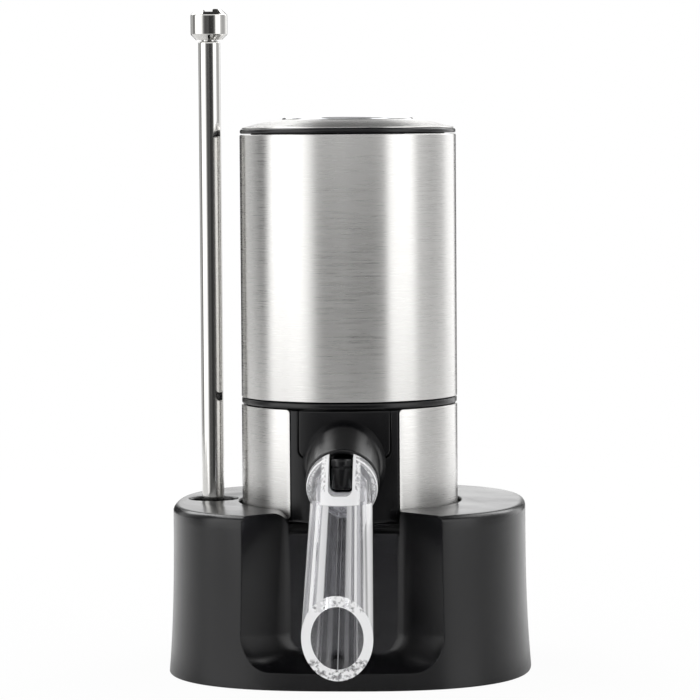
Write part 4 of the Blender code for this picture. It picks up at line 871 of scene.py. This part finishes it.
def clear_plastic(name, hex_value, roughness, ior):
    """Polished clear plastic with the faint waves of its mould."""
    material, tree = new_material(name)
    place = add_node(tree, "ShaderNodeTexCoord")
    wave = add_node(
        tree, "ShaderNodeTexNoise", [("Vector", place.outputs["Object"]), ("Scale", 120.0), ("Detail", 1.0)]
    )
    bump = add_node(
        tree, "ShaderNodeBump", [("Strength", 0.2), ("Distance", 0.00008), ("Height", wave.outputs["Fac"])]
    )
    rough = add_node(
        tree, "ShaderNodeMapRange",
        [("Value", wave.outputs["Fac"]), ("To Min", roughness * 0.7), ("To Max", roughness * 1.3)],
    )
    shader = add_node(
        tree, "ShaderNodeBsdfPrincipled",
        [("Base Color", colour(hex_value)), ("Roughness", rough.outputs["Result"]), ("IOR", ior),
         ("Transmission Weight", 1.0), ("Normal", bump.outputs["Normal"])],
    )
    add_node(tree, "ShaderNodeOutputMaterial", [("Surface", shader.outputs[0])])
    return material


# Nearly colourless and polished: the room and the black behind it show through, a little bent.
acrylic_ior = 1.49
clear_acrylic = clear_plastic("clear_acrylic", "#DEDEE2", 0.015, acrylic_ior)

flange_radius = 0.00845
flange_thick = 0.003
flange_back = hood_rim + hood_way * clearance
flange_front = flange_back + hood_way * flange_thick
spout_angle = math.radians(53.5)
spout_way = Vector((0, -math.cos(spout_angle), -math.sin(spout_angle)))
spout_length = 0.0396
spout_top_radius, spout_tip_radius = 0.0072, 0.0083
spout_top_bore, spout_tip_bore = 0.0051, 0.0061
tip_tilt = math.radians(15)
tip_way = Vector((0, -math.cos(tip_tilt), -math.sin(tip_tilt)))
tip_centre = flange_front + spout_way * spout_length
run_in = flange_radius * 2
run_out = spout_tip_radius * 2


def cone(name, start_radius, end_radius):
    """A taper along the spout that runs past both of its ends."""
    slope = (end_radius - start_radius) / spout_length
    low = start_radius - slope * run_in
    high = end_radius + slope * run_out
    length = run_in + spout_length + run_out
    form = lathe(name, [(0, 0, 0), (low, 0, 0), (high, length, 0), (0, length, 0)], steps=192, closed=False)
    return aim(form, flange_front - spout_way * run_in, spout_way)


def block_before(name, origin, way):
    """A wide block whose back face lies in a plane, to trim what stands before it."""
    reach = 0.05
    rings = [[(x * reach, y * reach, z) for x, y in square] for z in (0, reach)]
    return aim(loft(name, rings), origin, way)


spout = cone("spout_moulded", spout_top_radius, spout_tip_radius)
inside_flange = flange_front - hood_way * 0.0005
combine(
    spout, "DIFFERENCE",
    block_before("trim_back", inside_flange, -hood_way), block_before("trim_tip", tip_centre, tip_way),
)
flange = lathe(
    "flange",
    [(0, 0, 0), (flange_radius, 0, 0.0004), (flange_radius, flange_thick, 0.0009), (0, flange_thick, 0)],
    steps=160, closed=False,
)
combine(spout, "UNION", aim(flange, flange_back, hood_way))
spout_bore = cone("spout_bore", spout_top_bore, spout_tip_bore)
combine(spout_bore, "DIFFERENCE", block_before("bore_trim", flange_front, -hood_way))
notch_half = 0.00285
notch_foot = 0.0464
notch_round = 0.0016
over_spout = hood_rim.z + 0.0175
before_spout = -0.0735
notch = [
    (-notch_half, over_spout, 0), (-notch_half, notch_foot, notch_round),
    (notch_half, notch_foot, notch_round), (notch_half, over_spout, 0),
]
combine(
    spout, "DIFFERENCE", spout_bore,
    extrude("notch", notch, before_spout, hood_rim.y + flange_radius, 12),
)


def merge(tree, operation, *masks):
    """One mask from several: MULTIPLY keeps where all of them show, and MAXIMUM where any does."""
    merged = masks[0]
    for mask in masks[1:]:
        merged = add_node(tree, "ShaderNodeMath", [(0, merged), (1, mask)], operation=operation).outputs[0]
    return merged


def reach_along(tree, source, way, origin=(0, 0, 0)):
    """How far a vector reaches along a way from an origin."""
    reach = add_node(tree, "ShaderNodeVectorMath", [(0, source), (1, tuple(way))], operation="DOT_PRODUCT")
    start = Vector(way).dot(Vector(origin))
    return add_node(
        tree, "ShaderNodeMath", [(0, reach.outputs["Value"]), (1, start)], operation="SUBTRACT"
    ).outputs[0]


def between(tree, value, low, high, soft):
    """1 where a value lies between two limits, with soft edges."""
    edges = []
    for none, full in ((low - soft, low + soft), (high + soft, high - soft)):
        limits = [("From Min", none), ("From Max", full)]
        edge = add_node(tree, "ShaderNodeMapRange", [("Value", value)] + limits)
        edges.append(edge.outputs["Result"])
    return merge(tree, "MULTIPLY", *edges)


# Painted light: the thick walls gather the white of the room, and here that white is painted on as an
# opaque white surface. Painted streaks run down the tube, and the cut edges of the notch, the flange's
# edges and the mouth are painted white. They are drawn where the walls turn.
tree = clear_acrylic.node_tree
place = add_node(tree, "ShaderNodeTexCoord")
point, way_out = place.outputs["Object"], place.outputs["Normal"]
spot = add_node(tree, "ShaderNodeSeparateXYZ", [("Vector", point)])
sideways, level_z = spot.outputs["X"], spot.outputs["Z"]
off_middle = add_node(tree, "ShaderNodeMath", [(0, sideways)], operation="ABSOLUTE").outputs[0]
painted_streak_half, painted_streak_widening = 0.0066, 0.045
run = reach_along(tree, point, spout_way, flange_front)
painted_streak_reach = add_node(
    tree, "ShaderNodeMath", [(0, run), (1, painted_streak_widening), (2, painted_streak_half)], operation="MULTIPLY_ADD"
)
side_share = add_node(tree, "ShaderNodeMath", [(0, sideways), (1, painted_streak_reach.outputs[0])], operation="DIVIDE")
painted_streak_place = add_node(tree, "ShaderNodeMapRange", [("Value", side_share.outputs[0]), ("From Min", -1.0)])
# Where the painted refraction streaks lie across the tube's outer wall and across its bore, and how white
# each one is painted.
painted_tube_streaks = [
    (0.0, 0.75), (0.02, 0.7), (0.04, 0.03), (0.1, 0.03), (0.112, 0.95), (0.155, 0.9), (0.17, 0.03),
    (0.2, 0.05), (0.225, 0.7), (0.31, 0.65), (0.33, 0.01), (0.482, 0.0), (0.49, 0.18), (0.498, 0.0),
    (0.61, 0.01), (0.635, 0.4), (0.7, 0.6), (0.715, 0.03), (0.745, 0.03), (0.757, 0.95), (0.785, 0.9),
    (0.8, 0.03), (0.87, 0.05), (0.895, 0.8), (0.925, 0.3), (0.95, 0.9), (1.0, 0.95),
]
painted_bore_streaks = [
    (0.0, 0.1), (0.2, 0.1), (0.225, 0.3), (0.24, 0.02), (0.33, 0.02), (0.345, 0.12), (0.4, 0.1), (0.41, 0.0),
    (0.488, 0.0), (0.496, 0.5), (0.504, 0.0), (0.58, 0.02), (0.59, 0.1), (0.64, 0.1), (0.65, 0.0),
    (0.745, 0.02), (0.76, 0.35), (0.78, 0.1), (1.0, 0.1),
]
flange_foot, frame_half, saddle_top = 0.0444, 0.0046, 0.0474
front_up = Vector((0, spout_way.z, -spout_way.y))
tube = between(tree, level_z, -1.0, flange_foot, 0.0001)
off_axis = reach_along(tree, point, front_up, flange_front)
facing_out = between(tree, reach_along(tree, way_out, front_up), 0.0, 2.0, 0.04)
# Masks of painted highlights, one for each painted streak or white edge.
lights = []
for stops, low, high in ((painted_tube_streaks, 0.0, 1.0), (painted_bore_streaks, -1.0, 0.0)):
    painted_streak_ramp = add_node(tree, "ShaderNodeValToRGB", [("Fac", painted_streak_place.outputs["Result"])])
    set_ramp(painted_streak_ramp, stops)
    wall_side = between(tree, off_axis, low, high, 0.0003)
    lights.append(merge(tree, "MULTIPLY", painted_streak_ramp.outputs["Color"], tube, wall_side, facing_out))
# Noise that breaks the painted white of the flange frame, the flange and the mouth into painted glints.
painted_glint_noise = add_node(tree, "ShaderNodeTexNoise", [("Vector", point), ("Scale", 1100.0), ("Detail", 2.0)])
painted_glint_share = add_node(
    tree, "ShaderNodeMapRange",
    [("Value", painted_glint_noise.outputs["Fac"]), ("From Min", 0.38), ("From Max", 0.56), ("To Min", 0.25)],
).outputs["Result"]
above_tube = between(tree, level_z, flange_foot, over_body, 0.0001)
in_frame = between(tree, off_middle, -1.0, frame_half, 0.0002)
in_notch_edge = between(tree, off_middle, -1.0, notch_half + 0.0007, 0.0001)
on_saddle = between(tree, level_z, flange_foot, saddle_top, 0.0001)
lights.append(merge(tree, "MULTIPLY", in_frame, above_tube, painted_glint_share))
lights.append(merge(tree, "MULTIPLY", in_notch_edge, above_tube))
lights.append(merge(tree, "MULTIPLY", in_frame, on_saddle))
# How strongly the flange's face and the slanted mouth are painted white.
flange_painted_white, mouth_painted_white = 0.35, 0.95
flange_rise = reach_along(tree, point, hood_way, flange_back)
for low, high in ((-1.0, 0.0005), (flange_thick - 0.0009, flange_thick - 0.0003)):
    lights.append(between(tree, flange_rise, low, high, 0.0001))
on_flange = between(tree, flange_rise, -1.0, flange_thick, 0.0001)
lights.append(merge(tree, "MULTIPLY", on_flange, painted_glint_share, flange_painted_white))
mouth_face = between(tree, reach_along(tree, way_out, tip_way), 0.9, 2.0, 0.02)
above_foot = between(tree, level_z, (tip_centre - raised * 0.006).z, 1.0, 0.0006)
below_head = between(tree, level_z, -1.0, (tip_centre + raised * 0.0067).z, 0.0003)
mouth_plain = merge(tree, "MULTIPLY", above_foot, below_head)
mouth_painted_mottle = merge(tree, "MAXIMUM", mouth_plain, painted_glint_share)
lights.append(merge(tree, "MULTIPLY", mouth_face, mouth_painted_mottle, mouth_painted_white))
# Wherever any painted highlight shows, an opaque white surface is mixed over the clear wall.
painted_highlight_share = merge(tree, "MAXIMUM", *lights)
painted_white_surface = add_node(
    tree, "ShaderNodeBsdfPrincipled",
    [("Base Color", colour("#FAFAFB")), ("Roughness", 0.2), ("IOR", acrylic_ior)],
)
output = next(node for node in tree.nodes if node.type == "OUTPUT_MATERIAL")
clear_wall = output.inputs["Surface"].links[0].from_socket
wall_mix = add_node(
    tree, "ShaderNodeMixShader", [("Fac", painted_highlight_share), (1, clear_wall), (2, painted_white_surface.outputs[0])]
)
tree.links.new(wall_mix.outputs[0], output.inputs["Surface"])
dress(spout, clear_acrylic, "pour_spout", ["spout"])


# Stopper, hoses and pump
# Behind the foot: a moulded core in a ribbed silicone seal goes into the bottle's neck, clamped by
# a nut inside. Above it are the pump, its motor and two hoses. All are hidden while it stands.

# The pump is in natural, uncoloured plastic, its motor's can is dull drawn steel, and the hose is clear.
pump_plastic = moulded_plastic("pump_plastic", "#D6D5CE", 0.42, 0.4, 0.01, 0.2)
motor_steel = metal("motor_steel", "#B4B4B2", 0.25, 0.3, 0.004, 12.0)
clear_hose = clear_plastic("clear_hose", "#F0F2F0", 0.12, 1.41)
paint(inner_black_abs, "stopper_core", "stopper_nut", "pump_deck")
paint(grey_silicone, "stopper_seal", "pump_diaphragm")
paint(translucent_silicone, "air_hose")
paint(clear_hose, "liquid_hose")
paint(pump_plastic, "pump_body", "valve_plate")
paint(motor_steel, "motor_can", "motor_shaft")


# Seam band and bayonet collar
# The black band between the sleeves is the rim of the bayonet collar, on which the upper unit twists
# off. Its edges are softened, and its collar with three lugs reaches up into the upper housing.

def size_tree(name, sizes):
    """An empty Geometry Nodes tree with a named input for each size."""
    tree = bpy.data.node_groups.new(name, "GeometryNodeTree")
    for size in sizes:
        tree.interface.new_socket(size, in_out="INPUT", socket_type="NodeSocketFloat")
    tree.interface.new_socket("Geometry", in_out="OUTPUT", socket_type="NodeSocketGeometry")
    return tree


def grow(name, tree, result, material, sizes):
    """Ends a tree with real instances and a material, and keeps what it makes as a plain mesh."""
    real = add_node(tree, "GeometryNodeRealizeInstances", [("Geometry", result)])
    finished = add_node(
        tree, "GeometryNodeSetMaterial", [("Geometry", real.outputs["Geometry"]), ("Material", material)]
    )
    add_node(tree, "NodeGroupOutput", [("Geometry", finished.outputs["Geometry"])])
    piece = new_piece(name, bpy.data.meshes.new(name))
    maker = piece.modifiers.new(name, "NODES")
    maker.node_group = tree
    for socket in tree.interface.items_tree:
        if socket.in_out == "INPUT":
            maker[socket.identifier] = sizes[socket.name]
    made = bpy.data.meshes.new_from_object(piece.evaluated_get(bpy.context.evaluated_depsgraph_get()))
    piece.modifiers.clear()
    piece.data = made
    made.name = name
    made.shade_smooth()
    made.set_sharp_from_angle(angle=sharp_from)
    return piece


band_foot = 0.0652
band_top = 0.0666
band_radius = 0.0264
collar_radius = 0.0235
collar_inner = 0.022
collar_top = 0.072
collar_foot = 0.0585
board_rest = 0.0705
shelf_reach, shelf_slope = 0.0016, 0.0008
collar = lathe(
    "bayonet_collar_moulded",
    [
        (collar_radius, collar_top, 0.0002), (collar_radius, band_top, 0), (band_radius, band_top, 0.0003),
        (band_radius, band_foot, 0.0003), (collar_radius, band_foot, 0), (collar_radius, collar_foot, 0.0002),
        (collar_inner, collar_foot, 0), (collar_inner, board_rest - 2 * shelf_slope, 0),
        (collar_inner - shelf_reach, board_rest - shelf_slope, 0),
        (collar_inner - shelf_reach, board_rest, 0), (collar_inner, board_rest, 0),
        (collar_inner, collar_top, 0),
    ],
    steps=256, arc_steps=5,
)
lug_foot, lug_head = 0.0693, 0.0707
lug_inner, lug_outer, lug_width = collar_inner + clearance, collar_radius + 0.0008, 0.005
lugs_tree = size_tree("bayonet_lugs", ("Radius", "Thickness", "Width", "Height", "Level"))
given = add_node(lugs_tree, "NodeGroupInput").outputs
ring = add_node(lugs_tree, "GeometryNodeMeshCircle", [("Vertices", 3), ("Radius", given["Radius"])])
spot = add_node(lugs_tree, "GeometryNodeInputPosition")
outwards = add_node(
    lugs_tree, "FunctionNodeAlignRotationToVector", [("Vector", spot.outputs["Position"])], axis="X"
)
block_size = add_node(
    lugs_tree, "ShaderNodeCombineXYZ",
    [("X", given["Thickness"]), ("Y", given["Width"]), ("Z", given["Height"])],
)
block = add_node(lugs_tree, "GeometryNodeMeshCube", [("Size", block_size.outputs["Vector"])])
blocks = add_node(
    lugs_tree, "GeometryNodeInstanceOnPoints",
    [("Points", ring.outputs["Mesh"]), ("Instance", block.outputs["Mesh"]),
     ("Rotation", outwards.outputs["Rotation"])],
)
raise_by = add_node(lugs_tree, "ShaderNodeCombineXYZ", [("Z", given["Level"])])
first_at_back = (0, 0, math.pi / 2)
placed = add_node(
    lugs_tree, "GeometryNodeTransform",
    [("Geometry", blocks.outputs["Instances"]), ("Translation", raise_by.outputs["Vector"]),
     ("Rotation", first_at_back)],
)
lugs = grow("bayonet_lugs", lugs_tree, placed.outputs["Geometry"], satin_black_abs, {
    "Radius": (lug_inner + lug_outer) / 2, "Thickness": lug_outer - lug_inner, "Width": lug_width,
    "Height": lug_head - lug_foot, "Level": (lug_foot + lug_head) / 2,
})
combine(collar, "UNION", lugs)
dress(collar, satin_black_abs, "dispenser", ["bayonet_collar"])


# Upper steel sleeve
# A closed brushed stainless sleeve, 64 mm high, over the upper housing. The brushing runs level
# round it, and both of its ends are deburred.

upper_foot = 0.0669
upper_top = 0.1308
upper_sleeve = lathe(
    "upper_sleeve_drawn",
    [
        (body_radius, upper_top, 0.00025), (body_radius, upper_foot, edge_round),
        (sleeve_inner, upper_foot, edge_round), (sleeve_inner, upper_top, edge_round),
    ],
    steps=256, arc_steps=5,
)
dress(upper_sleeve, brushed_stainless_steel, "upper_unit", ["upper_sleeve"])


# Battery space and electronics
# The upper housing holds four small cells in a carrier, with spring-steel contacts, and above them a
# round board with the switch under the button. All of it is behind the steel.

def circuit_laminate(name, hex_value, trace_mm):
    """A glass-fibre board under a tinted lacquer, with its copper traces raised a little below it."""
    material, tree = new_material(name)
    place = add_node(tree, "ShaderNodeTexCoord")
    traces = add_node(
        tree, "ShaderNodeTexVoronoi",
        [("Vector", place.outputs["Object"]), ("Scale", 1000 / trace_mm)], distance="CHEBYCHEV",
    )
    copper = add_node(tree, "ShaderNodeValToRGB", [("Fac", traces.outputs["Distance"])])
    set_ramp(copper, [(0.28, 0.0), (0.34, 1.0)])
    tone = add_node(
        tree, "ShaderNodeMix",
        [(0, copper.outputs["Color"]), (6, colour(hex_value)), (7, colour(hex_value, 1.8))], data_type="RGBA",
    )
    bump = add_node(
        tree, "ShaderNodeBump",
        [("Strength", 0.4), ("Distance", 0.00003), ("Height", copper.outputs["Color"])],
    )
    shader = add_node(
        tree, "ShaderNodeBsdfPrincipled",
        [("Base Color", tone.outputs[2]), ("Roughness", 0.3), ("Normal", bump.outputs["Normal"])],
    )
    add_node(tree, "ShaderNodeOutputMaterial", [("Surface", shader.outputs[0])])
    return material


# Green lacquer over 1.4 mm traces, matt black chips, plain satin battery sleeves, bright contacts.
circuit_board = circuit_laminate("circuit_board", "#1E4A2C", 1.4)
component = moulded_plastic("component", "#232325", 0.45, 0.2, 0.01, 0.1)
battery_sleeve = moulded_plastic("battery_sleeve", "#3C4248", 0.3, 1.0, 0.004, 0.3)
spring_steel = metal("spring_steel", "#A8A9AB", 0.24, 0.2, 0.003)
brass = metal("brass", "#C9A45C", 0.22, 0.2, 0.003)
paint(inner_black_abs, "upper_housing", "battery_carrier")
paint(circuit_board, "transfer_board", "control_board")
paint(component, "control_chip", "push_switch")
paint(battery_sleeve, "battery_1", "battery_2", "battery_3", "battery_4")
paint(spring_steel, "contact_top_1", "contact_top_2", "contact_low_bridge")
paint(spring_steel, "contact_low_end_1", "contact_low_end_2")
paint(brass, "contact_pin_1", "contact_pin_2")


# Cap ring
# A black ring below the cap: 1.1 mm of it shows over the steel, and its skirt reaches into the
# upper housing.

ring_foot = 0.1311
ring_top = 0.1322
ring_radius = 0.0264
skirt_outer = housing_inner - clearance
skirt_inner = skirt_outer - 0.0015
skirt_foot = 0.129
cap_ring = lathe(
    "cap_ring_moulded",
    [
        (ring_radius, ring_top, 0.0005), (ring_radius, ring_foot, 0.0003), (skirt_outer, ring_foot, 0),
        (skirt_outer, skirt_foot, 0.0002), (skirt_inner, skirt_foot, 0.0002), (skirt_inner, ring_top, 0),
    ],
    steps=256, arc_steps=5,
)
dress(cap_ring, satin_black_abs, "upper_unit", ["cap_ring"])


# Cap
# A pressed and brushed stainless ring. It rises from a thin edge on the black ring to the hole of
# the button, in one soft curve that the button's dome goes on with.

cap_foot = 0.13228
cap_edge = 0.1325
cap_crown = 0.1345
cap_radius = 0.0259
hole_radius = 0.0163
shoulder_radius, shoulder_level, shoulder_curve = 0.0212, 0.13385, 0.03
cap = lathe(
    "top_cap_pressed",
    [
        (hole_radius, cap_crown, 0.0003), (shoulder_radius, shoulder_level, shoulder_curve),
        (cap_radius, cap_edge, 0.0001), (cap_radius, cap_foot, 0), (hole_radius, cap_foot, 0),
    ],
    steps=256, arc_steps=10,
)
dress(cap, brushed_stainless_steel, "upper_unit", ["top_cap"])


# Push button
# A domed chrome-plated button, 32 mm across, with a skirt and a stem above the switch. A light coil
# spring holds it up, and its edge is rolled over.

button_edge = 0.1346
button_crown = button_edge + 0.0019
button_radius = 0.016
rim_level = button_edge + 0.0003
rim_inner = button_radius - 0.0004
dome_rise = button_crown - rim_level
dome_radius = (rim_inner**2 + dome_rise**2) / (2 * dome_rise)
button_foot = button_edge - 0.0008
skirt_bore = button_radius - 0.0012
roof = button_foot + 0.0006
board_top = 0.1287
switch_height, plunger_height = 0.0014, 0.0006
button_travel = 0.0012
stem_radius = 0.0018
stem_foot = board_top + switch_height + plunger_height + 2 * clearance + button_travel
skin = []
for k in range(33):
    radius = rim_inner * k / 32
    skin.append((radius, button_crown - dome_radius + math.sqrt(dome_radius**2 - radius**2), 0))
skin += [
    (button_radius, rim_level, 0.0003), (button_radius, button_foot, 0.0001),
    (skirt_bore, button_foot, 0), (skirt_bore, roof, 0),
    (stem_radius, roof, 0), (stem_radius, stem_foot, 0.0002), (0, stem_foot, 0),
]
# Chrome is nearly a mirror, a little bluish.
chrome_plate = metal("chrome_plate", "#DCDDDF", 0.05, 0.4, 0.001)
button = lathe("power_button_plated", skin, steps=192, closed=False, arc_steps=5)
dress(button, chrome_plate, "button", ["power_button"])


# Button spring
# A light coil of round steel wire, three turns between the board and the button's roof,
# drawn at rest.

wire_radius = 0.00025
spring_radius = 0.0052
spring_turns = 3.0
spring_foot = board_top + clearance
spring_top = roof - clearance
coil_tree = size_tree("button_coil", ("Turns", "Coil radius", "Wire radius", "Rise", "Foot"))
given = add_node(coil_tree, "NodeGroupInput").outputs
helix = add_node(
    coil_tree, "GeometryNodeCurveSpiral",
    [("Resolution", 48), ("Rotations", given["Turns"]), ("Start Radius", given["Coil radius"]),
     ("End Radius", given["Coil radius"]), ("Height", given["Rise"]), ("Reverse", True)],
)
wire = add_node(
    coil_tree, "GeometryNodeCurvePrimitiveCircle", [("Resolution", 16), ("Radius", given["Wire radius"])]
)
wound = add_node(
    coil_tree, "GeometryNodeCurveToMesh",
    [("Curve", helix.outputs["Curve"]), ("Profile Curve", wire.outputs["Curve"]), ("Fill Caps", True)],
)
raise_by = add_node(coil_tree, "ShaderNodeCombineXYZ", [("Z", given["Foot"])])
placed = add_node(
    coil_tree, "GeometryNodeTransform",
    [("Geometry", wound.outputs["Mesh"]), ("Translation", raise_by.outputs["Vector"])],
)
spring = grow("button_spring_wound", coil_tree, placed.outputs["Geometry"], spring_steel, {
    "Turns": spring_turns, "Coil radius": spring_radius, "Wire radius": wire_radius,
    "Rise": spring_top - spring_foot - 2 * wire_radius, "Foot": spring_foot + wire_radius,
})
dress(spring, spring_steel, "upper_unit", ["button_spring"])
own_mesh(spring)
